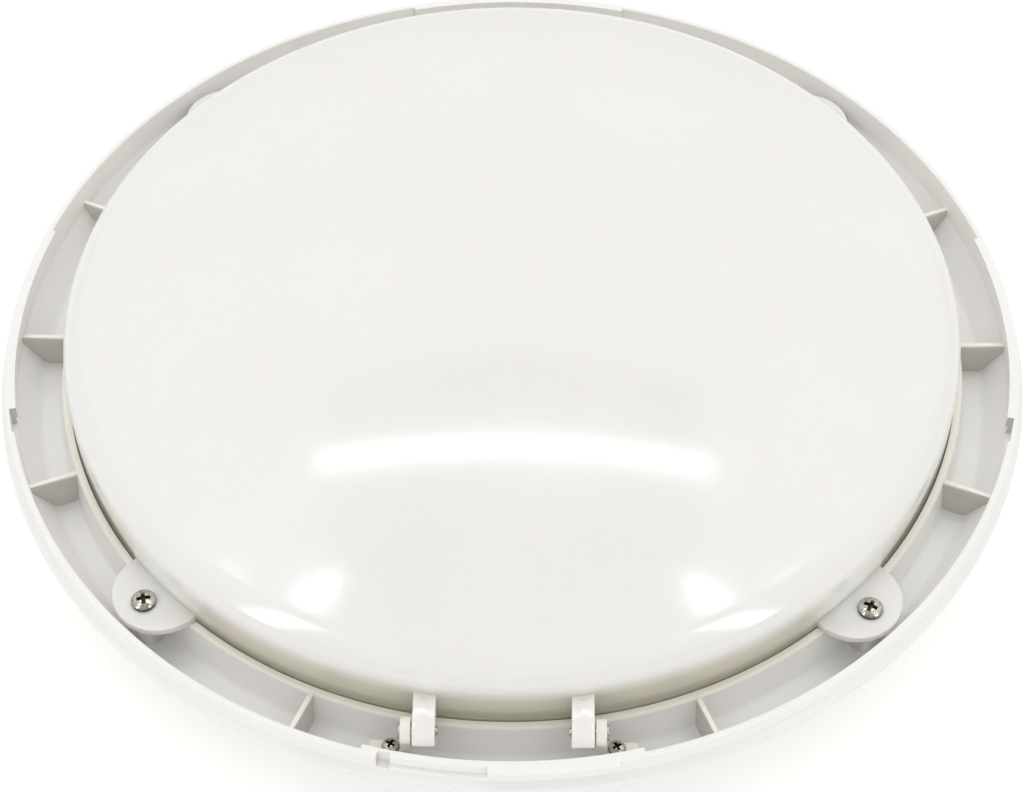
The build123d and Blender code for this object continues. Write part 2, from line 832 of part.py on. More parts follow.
# Battery: a stick of cells in line, each with its button end, capped and held in two saddles
cell_pitch = cell_length + cell_button_length
stick_half = cell_pitch * cell_count / 2
with BuildPart() as battery_cells:
    for index in range(cell_count):
        start_x = index * cell_pitch - stick_half
        with BuildSketch(Plane.YZ.offset(start_x)):
            with Locations((battery_y, battery_z)):
                Circle(cell_radius)
        extrude(amount=cell_length - seat_clearance)
        with BuildSketch(Plane.YZ.offset(start_x + cell_length - seat_clearance)):
            with Locations((battery_y, battery_z)):
                Circle(cell_button_radius)
        extrude(amount=cell_button_length)
battery_cells.part.label = "battery_cells"
export_step(battery_cells.part, "parts/battery_cells.step")

with BuildPart() as battery_end_caps:
    for side in (-1, 1):
        with BuildSketch(Plane.YZ.offset(side * (stick_half - end_cap_depth + end_cap_wall))):
            with Locations((battery_y, battery_z)):
                Circle(cap_outer_radius)
        extrude(amount=side * end_cap_depth)
        with BuildSketch(Plane.YZ.offset(side * (stick_half - end_cap_depth + end_cap_wall))):
            with Locations((battery_y, battery_z)):
                Circle(cap_inner_radius)
        extrude(amount=side * (end_cap_depth - end_cap_wall), mode=Mode.SUBTRACT)
battery_end_caps.part.label = "battery_end_caps"
export_step(battery_end_caps.part, "parts/battery_end_caps.step")

with BuildPart() as battery_holders:
    holder_half = cap_inner_radius + holder_wall
    holder_top = battery_z + holder_grip
    for side in (-1, 1):
        with BuildSketch(Plane.YZ.offset(side * holder_x - holder_width / 2)):
            with Locations((battery_y, (back_thickness + holder_top) / 2)):
                Rectangle(2 * holder_half, holder_top - back_thickness)
            with Locations((battery_y, battery_z)):
                Circle(cap_inner_radius, mode=Mode.SUBTRACT)
        extrude(amount=holder_width)
battery_holders.part.label = "battery_holders"
export_step(battery_holders.part, "parts/battery_holders.step")

# Terminal block with wire entries towards the cable entry and a clamp screw over each
terminal_x, terminal_y = terminal_place
terminal_top = back_thickness + terminal_size[2]
pole_steps = [(index - (terminal_poles - 1) / 2) * terminal_pitch for index in range(terminal_poles)]
clamp_places = [
    (terminal_x + row, terminal_y + step)
    for row in (-terminal_screw_row, terminal_screw_row)
    for step in pole_steps
]
with BuildPart() as terminal_block:
    with BuildSketch(Plane.XY.offset(back_thickness)):
        with Locations(terminal_place):
            Rectangle(terminal_size[0], terminal_size[1])
    extrude(amount=terminal_size[2])
    with BuildSketch(Plane.YZ.offset(terminal_x - terminal_size[0] / 2)):
        with Locations([(terminal_y + step, terminal_bore_z) for step in pole_steps]):
            Circle(terminal_bore_radius)
    extrude(amount=terminal_bore_depth, mode=Mode.SUBTRACT)
    with BuildSketch(Plane.XY.offset(terminal_top)):
        with Locations(clamp_places):
            Circle(terminal_screw_radius + seat_clearance)
    extrude(amount=-terminal_screw_depth, mode=Mode.SUBTRACT)
terminal_block.part.label = "terminal_block"
export_step(terminal_block.part, "parts/terminal_block.step")

with BuildPart() as terminal_screws:
    with BuildSketch(Plane.XY.offset(terminal_top - terminal_screw_depth)):
        with Locations(clamp_places):
            Circle(terminal_screw_radius)
    extrude(amount=terminal_screw_depth - terminal_screw_sink)
terminal_screws.part.label = "terminal_screws"
export_step(terminal_screws.part, "parts/terminal_screws.step")

# Test switch under the tray, its button and the charge indicator beside it
with BuildPart() as test_switch:
    with BuildSketch(Plane.XY.offset(tray_underside)):
        with Locations(switch_place):
            Rectangle(switch_size[0], switch_size[1])
    extrude(amount=-switch_size[2])
    with BuildSketch(Plane.XY.offset(tray_underside)):
        with Locations((button_x, switch_place[1])):
            Circle(button_flange_radius + button_gap)
    extrude(amount=button_bottom - button_travel - button_gap - tray_underside, mode=Mode.SUBTRACT)
    with BuildSketch(Plane.XY.offset(tray_underside)):
        with Locations((indicator_x, switch_place[1])):
            Circle(indicator_radius + seat_clearance)
    extrude(amount=indicator_bottom - tray_underside, mode=Mode.SUBTRACT)
test_switch.part.label = "test_switch"
export_step(test_switch.part, "parts/test_switch.step")

with BuildPart() as test_button:
    with BuildSketch(Plane.XY.offset(button_bottom)):
        with Locations((button_x, switch_place[1])):
            Circle(button_radius)
    extrude(amount=button_top - button_bottom)
    fillet(test_button.faces().sort_by(Axis.Z)[-1].edges(), button_gap * 2)
    with BuildSketch(Plane.XY.offset(tray_underside - button_gap)):
        with Locations((button_x, switch_place[1])):
            Circle(button_flange_radius)
    extrude(amount=-button_flange_thickness)
test_button.part.label = "test_button"
export_step(test_button.part, "parts/test_button.step")

with BuildPart() as charge_indicator:
    with BuildSketch(Plane.XY.offset(indicator_bottom)):
        with Locations((indicator_x, switch_place[1])):
            Circle(indicator_radius)
    extrude(amount=indicator_top - indicator_bottom)
    fillet(charge_indicator.faces().sort_by(Axis.Z)[-1].edges(), indicator_radius / 2)
charge_indicator.part.label = "charge_indicator"
export_step(charge_indicator.part, "parts/charge_indicator.step")

# Grommets where leads pass the tray, connectors on the boards, plug of the spare cable entry
with BuildPart() as tray_grommets:
    grommet_outer_radius = grommet_radius + grommet_flange
    for bottom, radius, height in (
        (tray_underside - grommet_flange_thickness, grommet_outer_radius, grommet_flange_thickness),
        (tray_underside, grommet_radius, tray_thickness),
        (tray_top, grommet_outer_radius, grommet_flange_thickness),
    ):
        with BuildSketch(Plane.XY.offset(bottom)):
            with Locations(board_pass, emergency_pass):
                Circle(radius)
                Circle(lead_radius + lead_gap, mode=Mode.SUBTRACT)
        extrude(amount=height)
tray_grommets.part.label = "tray_grommets"
export_step(tray_grommets.part, "parts/tray_grommets.step")

with BuildPart() as board_connectors:
    with BuildSketch(Plane.XY.offset(board_top)):
        with Locations(board_connector, emergency_connector):
            Rectangle(connector_size[0], connector_size[1])
    extrude(amount=connector_size[2])
board_connectors.part.label = "board_connectors"
export_step(board_connectors.part, "parts/board_connectors.step")

with BuildPart() as entry_plug:
    with BuildSketch(Plane.XY):
        with Locations((spare_entry_x, 0)):
            Circle(cable_entry_radius - seat_clearance)
    extrude(amount=back_thickness)
    with BuildSketch(Plane.XY.offset(back_thickness)):
        with Locations((spare_entry_x, 0)):
            Circle(plug_flange_radius)
    extrude(amount=plug_flange_thickness)
entry_plug.part.label = "entry_plug"
export_step(entry_plug.part, "parts/entry_plug.step")

# Leads, each whole from the piece it leaves to the piece it enters
terminal_face_x = terminal_x + terminal_size[0] / 2
driver_end_x = driver_size[0] / 2
module_end_x = module_size[0] / 2
module_side_y = module_y + module_size[1] / 2
module_top = back_thickness + module_size[2]
switch_face_y = switch_place[1] + switch_size[1] / 2
switch_lead_z = tray_underside - switch_size[2] / 2
connector_reach = connector_size[0] / 2
battery_lead_y = module_y + module_size[1] / 4
lead_routes = {
    "lead_mains": (
        [
            (terminal_face_x, terminal_y, low_lead_z),
            (right_lane_x, terminal_y, low_lead_z),
            (right_lane_x, driver_y, low_lead_z),
            (driver_end_x, driver_y, low_lead_z),
        ],
        [lead_bend, lead_bend],
    ),
    "lead_boards": (
        [
            (-driver_end_x, driver_y, low_lead_z),
            (*board_pass, low_lead_z),
            (*board_pass, tray_lead_z),
            (board_connector[0], board_connector[1] - connector_reach, tray_lead_z),
        ],
        [lead_bend, lead_tight_bend],
    ),
    "lead_battery": (
        [
            (-stick_half - end_cap_wall, battery_y, high_lead_z),
            (battery_lane_x, battery_y, high_lead_z),
            (battery_lane_x, battery_lead_y, high_lead_z),
            (-module_end_x, battery_lead_y, high_lead_z),
        ],
        [lead_bend, lead_bend],
    ),
    "lead_emergency": (
        [
            (emergency_pass[0], module_side_y, high_lead_z),
            (*emergency_pass, high_lead_z),
            (*emergency_pass, tray_lead_z),
            (emergency_connector[0] + connector_reach, emergency_connector[1], tray_lead_z),
        ],
        [lead_bend, lead_tight_bend],
    ),
    "lead_switch": (
        [
            (switch_place[0], switch_face_y, switch_lead_z),
            (switch_place[0], module_y, switch_lead_z),
            (switch_place[0], module_y, module_top),
        ],
        [lead_radius],
    ),
}
for lead_name, (route_points, route_bends) in lead_routes.items():
    lead_solid = lead(route_points, route_bends)
    lead_solid.label = lead_name
    export_step(lead_solid, f"parts/{lead_name}.step")

with BuildPart() as lead_clips:
    for place, height in (
        ((right_lane_x, module_side_y + low_clip_step), low_lead_z),
        ((battery_lane_x, high_clip_y), high_lead_z),
    ):
        with BuildSketch(Plane.XY.offset(back_thickness)):
            with Locations(place):
                Rectangle(clip_size[0], clip_size[1])
        extrude(amount=height + lead_radius - back_thickness)
        with BuildSketch(Plane.XZ.offset(clip_size[1] / 2 - place[1])):
            with Locations((place[0], height)):
                Circle(lead_radius + seat_clearance)
            with Locations((place[0], height + lead_radius)):
                Rectangle(2 * lead_radius, 2 * lead_radius)
        extrude(amount=-clip_size[1], mode=Mode.SUBTRACT)
lead_clips.part.label = "lead_clips"
export_step(lead_clips.part, "parts/lead_clips.step")

# Diffuser: upright side, rounded shoulder, crease and shallow dome, one wall thick, with four
# ears over the bosses and two arms reaching over the inner wall to the hinge
inner_side = side_radius - diffuser_wall
inner_crease = crease_height - diffuser_wall
arm_root_y = shoulder_run / 2 - side_radius
with BuildPart() as diffuser:
    with BuildSketch(Plane.XZ):
        with BuildLine():
            Polyline(
                (0, crown_height),
                (0, skirt_bottom),
                (side_radius, skirt_bottom),
                (side_radius, shoulder_height),
            )
            EllipticalCenterArc((crease_radius, shoulder_height), shoulder_run, shoulder_rise, arc_size=90)
            TangentArc((0, crown_height), (crease_radius, crease_height), tangent=(1, 0))
        make_face()
    revolve(axis=Axis.Z)
    with BuildSketch(Plane.XY.offset(ear_underside)):
        for azimuth in ear_azimuths:
            with Locations(at(side_radius + ear_centre_reach, azimuth)):
                Circle(ear_radius)
    extrude(amount=ear_thickness)
    for side in (-1, 1):
        with BuildSketch(Plane.YZ.offset(side * arm_inner_x)):
            with Locations((hinge_y, hinge_z)):
                Circle(arm_eye_radius)
            with Locations(((hinge_y + arm_root_y) / 2, hinge_z)):
                Rectangle(arm_root_y - hinge_y, 2 * arm_eye_radius)
        extrude(amount=side * arm_width)
    with BuildSketch(Plane.XZ):
        with BuildLine():
            Polyline(
                (0, crown_height - diffuser_wall),
                (0, skirt_bottom),
                (inner_side, skirt_bottom),
                (inner_side, shoulder_height),
            )
            EllipticalCenterArc(
                (crease_radius, shoulder_height),
                inner_side - crease_radius,
                inner_crease - shoulder_height,
                arc_size=90,
            )
            TangentArc((0, crown_height - diffuser_wall), (crease_radius, inner_crease), tangent=(1, 0))
        make_face()
    revolve(axis=Axis.Z, mode=Mode.SUBTRACT)
    with BuildSketch(Plane.XY.offset(ear_underside)):
        for azimuth in ear_azimuths:
            with Locations(at(ear_hole_place, azimuth)):
                Circle(ear_hole_radius)
    extrude(amount=ear_thickness, mode=Mode.SUBTRACT)
    with BuildSketch(Plane.YZ.offset(-arm_inner_x - arm_width)):
        with Locations((hinge_y, hinge_z)):
            Circle(pin_radius + pin_running_fit)
    extrude(amount=2 * (arm_inner_x + arm_width), mode=Mode.SUBTRACT)
diffuser.part.label = "diffuser"
export_step(diffuser.part, "parts/diffuser.step")

# Ear screws, held in the ears and turned down into the inserts
ear_screw_form = pan_head_screw(
    ear_head_radius,
    ear_head_height,
    ear_shank_radius,
    ear_shank_length,
    ear_point_radius,
    ear_point_length,
)
for ear_name, azimuth in zip(ear_names, ear_azimuths):
    with BuildPart() as ear_screw:
        with Locations(at(ear_hole_place, azimuth, ear_top)):
            add(ear_screw_form)
    ear_screw.part.label = f"ear_screw_{ear_name}"
    export_step(ear_screw.part, f"parts/ear_screw_{ear_name}.step")
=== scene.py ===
import json
import math

import bmesh
import bpy
from bpy.props import FloatProperty, FloatVectorProperty, PointerProperty
from mathutils import Matrix, Vector


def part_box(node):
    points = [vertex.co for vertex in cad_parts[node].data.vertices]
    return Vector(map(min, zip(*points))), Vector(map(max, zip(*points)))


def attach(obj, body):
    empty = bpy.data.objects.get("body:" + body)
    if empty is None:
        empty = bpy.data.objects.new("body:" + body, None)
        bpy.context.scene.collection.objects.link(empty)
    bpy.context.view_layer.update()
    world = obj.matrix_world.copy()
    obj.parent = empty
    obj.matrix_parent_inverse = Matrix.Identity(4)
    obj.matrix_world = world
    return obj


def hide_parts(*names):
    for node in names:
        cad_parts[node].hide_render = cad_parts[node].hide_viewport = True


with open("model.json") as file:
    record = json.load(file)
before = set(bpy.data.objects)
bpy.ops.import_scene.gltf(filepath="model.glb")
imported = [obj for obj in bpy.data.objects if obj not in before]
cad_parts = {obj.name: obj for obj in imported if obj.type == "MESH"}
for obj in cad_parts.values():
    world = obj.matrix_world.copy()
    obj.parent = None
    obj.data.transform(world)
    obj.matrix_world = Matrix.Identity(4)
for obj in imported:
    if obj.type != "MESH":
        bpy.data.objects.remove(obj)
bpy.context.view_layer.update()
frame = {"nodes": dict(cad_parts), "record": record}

# Round emergency ceiling light, lying on its back plate. Metres, in the frame of the part:
# the ceiling face is z = 0, the diffuser points up and the hinge is at the front (-Y).
# Azimuths are in degrees about +Z, from the front and positive towards +X.

bl_info = {
    "name": "Round emergency ceiling light",
    "version": (1, 0, 0),
    "blender": (4, 5, 0),
    "location": "3D View > Sidebar > Ceiling light",
    "description": "Builds a round opal ceiling light on its hinged base, and a plain studio",
    "category": "Object",
}

MM = 0.001
FULL_TURN = 2 * math.pi
LATHE_STEPS = 360
# Strength of the light tent, all round, towards the top and towards the back, and its tint
TENT_LEVEL = 0.32
TENT_TOP = 0.84
TENT_BACK = 0.34
TENT_TINT = (1, 0.995, 0.985, 1)
EAR_AZIMUTHS = {"front_right": 45.5, "rear_right": 134.5, "rear_left": 225.5, "front_left": 314.5}
RIB_AZIMUTHS = (22.5, 67.5, 90, 112.5, 157.5, 180, 202.5, 247.5, 270, 292.5, 337.5)
# Places of the bracket screws: along X, behind the hinge axis and over the channel floor
FOOT_SCREW_X = 34.1 * MM
FOOT_SCREW_BACK = 0.9 * MM
FOOT_RISE = 9.5 * MM
PIN_BORE = 1.55 * MM
BASE_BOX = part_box("base_housing")
DIFFUSER_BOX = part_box("diffuser")


def length(name, description, value):
    """A size in metres for a property group, from its value in millimetres."""
    return FloatProperty(
        name=name,
        description=description,
        default=value * MM,
        precision=5,
        unit="LENGTH",
        subtype="DISTANCE",
    )


def shade(name, description, value):
    """A colour for a property group, from its sRGB hex value."""
    return FloatVectorProperty(
        name=name,
        description=description,
        default=linear(value),
        size=4,
        min=0,
        max=1,
        subtype="COLOR",
    )


def linear(value):
    """The linear colour of an sRGB hex value such as F0EFEB."""
    channels = [int(value[index : index + 2], 16) / 255 for index in (0, 2, 4)]
    return (*(c / 12.92 if c <= 0.04045 else ((c + 0.055) / 1.055) ** 2.4 for c in channels), 1)


class CeilingLightBase(bpy.types.PropertyGroup):
    """Sizes of the moulded base housing."""

    flange_radius: length(
        "Flange radius", "Radius of the outer edge of the base", BASE_BOX[1].x / MM
    )
    lip_outer: length("Lip outer radius", "Outer radius of the raised lip", 172.7)
    lip_inner: length("Lip inner radius", "Inner radius of the raised lip", 170.5)
    wall_outer: length("Wall outer radius", "Outer radius of the inner wall, at its top", 154.3)
    wall_inner: length("Wall inner radius", "Inner radius of the inner wall", 151.8)
    kerb_radius: length("Kerb radius", "Radius of the kerb inside the seal", 145.5)
    pan_radius: length("Pan radius", "Radius of the pan that holds the gear", 143.5)
    lip_top: length("Lip height", "Height of the flat top of the lip", 45)
    wall_top: length("Wall height", "Height of the top of the inner wall and the ribs", 38.6)
    floor: length("Channel floor", "Height of the floor of the channel", 25)
    ledge: length("Seal ledge", "Height of the ledge that carries the seal and the tray", 30)
    back: length("Back plate", "Thickness of the back plate", 2.5)
    wall: length("Wall thickness", "Thickness of the outer walls", 2.3)


class CeilingLightDiffuser(bpy.types.PropertyGroup):
    """Sizes of the opal diffuser."""

    side_radius: length("Side radius", "Outer radius of the upright side", 151.5)
    crease_radius: length("Crease radius", "Radius of the crease between shoulder and dome", 144)
    skirt_bottom: length("Skirt bottom", "Height of the lower edge of the skirt", 33.5)
    shoulder: length("Shoulder height", "Height at which the side turns into the shoulder", 54.2)
    crease: length("Crease height", "Height of the crease", 63.4)
    crown: length("Crown height", "Height of the crown of the dome", DIFFUSER_BOX[1].z / MM)
    wall: length("Wall thickness", "Thickness of the opal moulding", 2.2)
    ear_radius: length("Ear radius", "Radius of the half-round ears", 15.3)
    ear_bottom: length("Ear underside", "Height of the underside of the ears", 38.9)
    ear_top: length("Ear top", "Height of the top of the ears", 41.1)
    ear_hole_place: length("Ear hole place", "Distance of the ear holes from the axis", 159.2)
    hinge_y: length("Hinge place", "Place of the hinge axis along Y", -159.5)
    hinge_z: length("Hinge height", "Height of the hinge axis", 45.5)


class CeilingLightFinish(bpy.types.PropertyGroup):
    """Colours of the main finishes, and of the painted light and shade on them."""

    housing: shade("Housing", "White of the base moulding", "F6F5F3")
    # Painted light: cream on the tops of the inner wall and ribs, standing in for light from the
    # opal side
    painted_wall_edge_light: shade("Wall edge", "Cream tone of the edges that the opal side tints", "FFFCF2")
    # Painted shade on the rib faces that look along the channel
    painted_rib_shade: shade("Rib faces", "Greyer white of the thin ribs, seen along the channel", "CDCCC6")
    opal: shade("Opal", "White of the diffuser", "F2F0EE")
    # Painted shade down the diffuser's side, deep in the base
    painted_opal_side_shade: shade("Opal side", "Warm grey of the diffuser, deep in the base", "BFBAA5")
    # Painted shade on the ears, for the dark channel under them
    painted_opal_ear_shade: shade("Opal ears", "Greyer white of the thin ears, over the dark channel", "EDECE9")
    screw: shade("Screws", "Zinc of the screws that show, on their high spots", "DCD8CC")
    # Painted shade in the recess and round the foot of the screw heads
    recess: shade("Screw recess", "Near black in the recess of those screws", "1B1A17")


class CeilingLightStage(bpy.types.PropertyGroup):
    """The studio round the light."""

    floor_tone: shade("Floor", "Tone of the floor", "F4F4F2")
    lens: FloatProperty(
        name="Lens",
        description="Focal length of the camera",
        default=80.31,
        min=10,
        unit="CAMERA",
    )


def sizes(name):
    """A property group of the scene."""
    return getattr(bpy.context.scene, name)


def direction(azimuth):
    """Unit vector in the XY plane towards an azimuth."""
    return Vector((math.sin(math.radians(azimuth)), -math.cos(math.radians(azimuth)), 0))


def select(*pieces):
    """Makes pieces the only ones selected, and the first of them active."""
    bpy.ops.object.select_all(action="DESELECT")
    for piece in pieces:
        piece.select_set(True)
    bpy.context.view_layer.objects.active = pieces[0]


def edit(piece):
    """Makes a piece the only one selected and opens its mesh."""
    if bpy.context.mode != "OBJECT":
        bpy.ops.object.mode_set(mode="OBJECT")
    select(piece)
    bpy.ops.object.mode_set(mode="EDIT")
    bpy.ops.mesh.select_mode(type="VERT")
    bpy.ops.mesh.select_all(action="SELECT")


def close(piece):
    """Merges doubles, turns the faces outwards and leaves the mesh."""
    bpy.ops.mesh.select_all(action="SELECT")
    bpy.ops.mesh.remove_doubles(threshold=MM / 1000)
    bpy.ops.mesh.normals_make_consistent(inside=False)
    bpy.ops.object.mode_set(mode="OBJECT")
    return piece


def choose(piece, kind, test):
    """Selects the vertices, edges or faces of an open mesh whose corners all pass a test."""
    bpy.ops.mesh.select_mode(type=kind)
    bpy.ops.mesh.select_all(action="DESELECT")
    mesh = bmesh.from_edit_mesh(piece.data)
    if kind == "VERT":
        for vertex in mesh.verts:
            vertex.select_set(test(vertex.co))
    else:
        for part in mesh.edges if kind == "EDGE" else mesh.faces:
            part.select_set(all(test(vertex.co) for vertex in part.verts))
    mesh.select_flush_mode()
    bmesh.update_edit_mesh(piece.data)


def near(value, target):
    """Whether two sizes are the same to a few micrometres."""
    return abs(value - target) < 5e-6


def outline(name, points):
    """A closed chain of edges through points in space, left open for editing."""
    bpy.ops.object.select_all(action="DESELECT")
    bpy.ops.mesh.primitive_plane_add(size=MM)
    piece = bpy.context.active_object
    piece.name = name
    piece.data.name = name
    edit(piece)
    bpy.ops.mesh.merge(type="CENTER")
    bpy.ops.transform.translate(value=points[0])
    for start, end in zip(points, (*points[1:], points[0])):
        step = Vector(end) - Vector(start)
        bpy.ops.mesh.extrude_region_move(TRANSFORM_OT_translate={"value": step})
    bpy.ops.mesh.select_all(action="SELECT")
    bpy.ops.mesh.remove_doubles(threshold=MM / 1000)
    return piece


def section(points):
    """Points of a radius and a height, as points in space on the +X side."""
    return [(radius, 0, height) for radius, height in points]


def arc(centre, radius, start, end, steps):
    """Points of an arc in a plane, from one angle to another in degrees."""
    turns = [math.radians(start + (end - start) * index / steps) for index in range(steps + 1)]
    across, up = centre
    return [(across + radius * math.cos(turn), up + radius * math.sin(turn)) for turn in turns]


def round_corners(piece, corners, offset, segments=3):
    """Rounds corners of an open section, given by radius and height."""
    choose(piece, "VERT", lambda co: any(near(co.x, c[0]) and near(co.z, c[1]) for c in corners))
    bpy.ops.mesh.bevel(offset=offset, segments=segments, affect="VERTICES")


def round_edges(piece, offset, segments, test):
    """Rounds the edges of an open solid whose ends both pass a test."""
    choose(piece, "EDGE", test)
    bpy.ops.mesh.bevel(offset=offset, segments=segments, affect="EDGES")


def lathe(piece, steps=LATHE_STEPS):
    """Spins an open section all the way round the Z axis."""
    bpy.ops.mesh.select_all(action="SELECT")
    bpy.ops.mesh.spin(steps=steps, angle=FULL_TURN, center=(0, 0, 0), axis=(0, 0, 1))
    return close(piece)


def clear_axis(piece):
    """Deletes the edges of an open section that lie on the axis, where a spun wall has none."""
    choose(piece, "EDGE", lambda co: co.x < MM / 100)
    bpy.ops.mesh.delete(type="EDGE")


def slab(name, points, along):
    """A solid with a flat outline, extruded along a vector and left open for editing."""
    piece = outline(name, points)
    bpy.ops.mesh.edge_face_add()
    bpy.ops.mesh.extrude_region_move(TRANSFORM_OT_translate={"value": along})
    bpy.ops.mesh.select_all(action="SELECT")
    bpy.ops.mesh.normals_make_consistent(inside=False)
    return piece


def rod(name, centre, radius, start, end, sides=24):
    """A round bar along X between two places, left open for editing."""
    ring = arc(centre, radius, 0, 360 - 360 / sides, sides - 1)
    return slab(name, [(start, y, z) for y, z in ring], (end - start, 0, 0))


def soften(piece, offset):
    """Rounds the sharp edges of an open solid."""
    bpy.ops.mesh.select_mode(type="EDGE")
    bpy.ops.mesh.select_all(action="DESELECT")
    bpy.ops.mesh.edges_select_sharp(sharpness=math.radians(35))
    bpy.ops.mesh.bevel(offset=offset, segments=2, affect="EDGES", clamp_overlap=True)
    return close(piece)


def cylinder(name, place, radius, bottom, top, sides=48, rounding=0):
    """An upright round bar from a circle, extruded, with its upper edge rounded if asked."""
    bpy.ops.object.select_all(action="DESELECT")
    bpy.ops.mesh.primitive_circle_add(
        vertices=sides, radius=radius, fill_type="NGON", location=(place[0], place[1], bottom)
    )
    piece = bpy.context.active_object
    piece.name = name
    bpy.ops.object.transform_apply(location=True, rotation=True, scale=True)
    edit(piece)
    bpy.ops.mesh.extrude_region_move(TRANSFORM_OT_translate={"value": (0, 0, top - bottom)})
    if rounding:
        round_edges(piece, rounding, 3, lambda co: near(co.z, top))
    return close(piece)


def sector(name, inner, outer, bottom, top, span):
    """A block of a ring between two azimuths, from its section at the first of them."""
    piece = outline(name, section(((inner, bottom), (outer, bottom), (outer, top), (inner, top))))
    bpy.ops.mesh.edge_face_add()
    turn(span[0] - 90)
    steps = max(3, round((span[1] - span[0]) * LATHE_STEPS / 360))
    bpy.ops.mesh.spin(
        steps=steps, angle=math.radians(span[0] - span[1]), center=(0, 0, 0), axis=(0, 0, 1)
    )
    return close(piece)


def turn(degrees):
    """Turns what is selected in an open mesh about the Z axis; with no window the sign flips."""
    bpy.ops.transform.rotate(
        value=-math.radians(degrees), orient_axis="Z", center_override=(0, 0, 0)
    )


def duplicate(piece, turned, moved=(0, 0, 0)):
    """A copy of a piece with its own mesh, turned about the Z axis and then moved."""
    select(piece)
    bpy.ops.object.duplicate(linked=False)
    copy = bpy.context.active_object
    edit(copy)
    turn(turned)
    bpy.ops.transform.translate(value=moved)
    bpy.ops.object.mode_set(mode="OBJECT")
    return copy


def copies(piece, azimuths):
    """Copies a piece drawn on the +X side to azimuths, all in one mesh."""
    made = [duplicate(piece, azimuth - 90) for azimuth in azimuths]
    bpy.data.objects.remove(piece)
    return joined(made)


def joined(pieces):
    """Joins pieces into the first of them."""
    select(*pieces)
    bpy.ops.object.join()
    return pieces[0]


def combine(piece, other, operation):
    """Adds another solid to a piece or cuts it away, and deletes that solid."""
    modifier = piece.modifiers.new(operation.title(), "BOOLEAN")
    modifier.operation = operation
    modifier.solver = "EXACT"
    modifier.object = other
    select(piece)
    bpy.ops.object.modifier_apply(modifier=modifier.name)
    bpy.data.objects.remove(other)
    if not piece.data.polygons:
        raise RuntimeError(f"{piece.name} lost its shape in a {operation.lower()}")


def finish(piece, body, slot, *nodes, angle=30):
    """Smooths a piece, gives it the finish of its slot, puts it under its body and hides the nodes
    that it replaces.
    """
    edit(piece)
    bpy.ops.mesh.remove_doubles(threshold=MM / 500)
    bpy.ops.mesh.dissolve_degenerate(threshold=MM / 500)
    bpy.ops.object.mode_set(mode="OBJECT")
    bpy.ops.object.shade_smooth_by_angle(angle=math.radians(angle))
    dress(piece, slot)
    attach(piece, body)
    if nodes:
        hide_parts(*nodes)


def put(owner, kind, settings=None, links=None, stops=None):
    """Adds a node to a material or a world, with its settings, links and ramp stops.

    A link comes from a socket, or from the first output of a node."""
    node = owner.node_tree.nodes.new(kind)
    for key, value in (settings or {}).items():
        if isinstance(key, int) or key in node.inputs:
            node.inputs[key].default_value = value
        else:
            setattr(node, key, value)
    for key, source in (links or {}).items():
        socket = source.outputs[0] if isinstance(source, bpy.types.Node) else source
        owner.node_tree.links.new(socket, node.inputs[key])
    for index, (place, colour) in enumerate(stops or ()):
        ramp = node.color_ramp.elements
        stop = ramp[index] if index < 2 else ramp.new(place)
        stop.position = place
        stop.color = colour
    return node


def blank(name):
    """A material with an empty node tree."""
    material = bpy.data.materials.new(name)
    material.use_nodes = True
    material.node_tree.nodes.clear()
    return material


def surface(material, shader):
    """Shows a shader on a material's surface."""
    put(material, "ShaderNodeOutputMaterial", links={"Surface": shader})
    return material


def moulded(name, dark, light, spread, grain, relief, gloss, settings=None, layers=None):
    """A surface with a faint cloud in its tone, uneven gloss and a fine grain.

    spread, grain and relief are in millimetres; gloss is the lowest and highest roughness;
    layers gives further tones, each with where it covers."""
    material = blank(name)
    place = put(material, "ShaderNodeTexCoord").outputs["Object"]
    clouds = {"Scale": 1 / (spread * MM), "Detail": 3.0}
    cloud = put(material, "ShaderNodeTexNoise", clouds, {"Vector": place})
    dark, light = (linear(tone) if isinstance(tone, str) else tuple(tone) for tone in (dark, light))
    tone = put(
        material, "ShaderNodeValToRGB", links={"Fac": cloud}, stops=((0.3, dark), (0.7, light))
    )
    for cover, over in layers(material, place) if layers else ():
        mixing = {"data_type": "RGBA", 7: tuple(over)}
        tone = put(material, "ShaderNodeMix", mixing, {0: cover, 6: tone}).outputs[2]
    rough = put(
        material,
        "ShaderNodeMapRange",
        {"From Min": 0.3, "From Max": 0.7, "To Min": gloss[0], "To Max": gloss[1]},
        {"Value": cloud},
    )
    grains = {"Scale": 1 / (grain * MM), "Detail": 2.0}
    texture = put(material, "ShaderNodeTexNoise", grains, {"Vector": place})
    bump = put(material, "ShaderNodeBump", {"Distance": relief * MM}, {"Height": texture})
    shader = put(
        material,
        "ShaderNodeBsdfPrincipled",
        settings,
        {"Base Color": tone, "Roughness": rough, "Normal": bump},
    )
    return surface(material, shader)


def radius_at(material, axes):
    """The distance from the axis of the light, from the three coordinates of a place."""
    level = {"X": axes.outputs["X"], "Y": axes.outputs["Y"]}
    flat = put(material, "ShaderNodeCombineXYZ", links=level)
    radius = put(material, "ShaderNodeVectorMath", {"operation": "LENGTH"}, {0: flat})
    return radius.outputs["Value"]


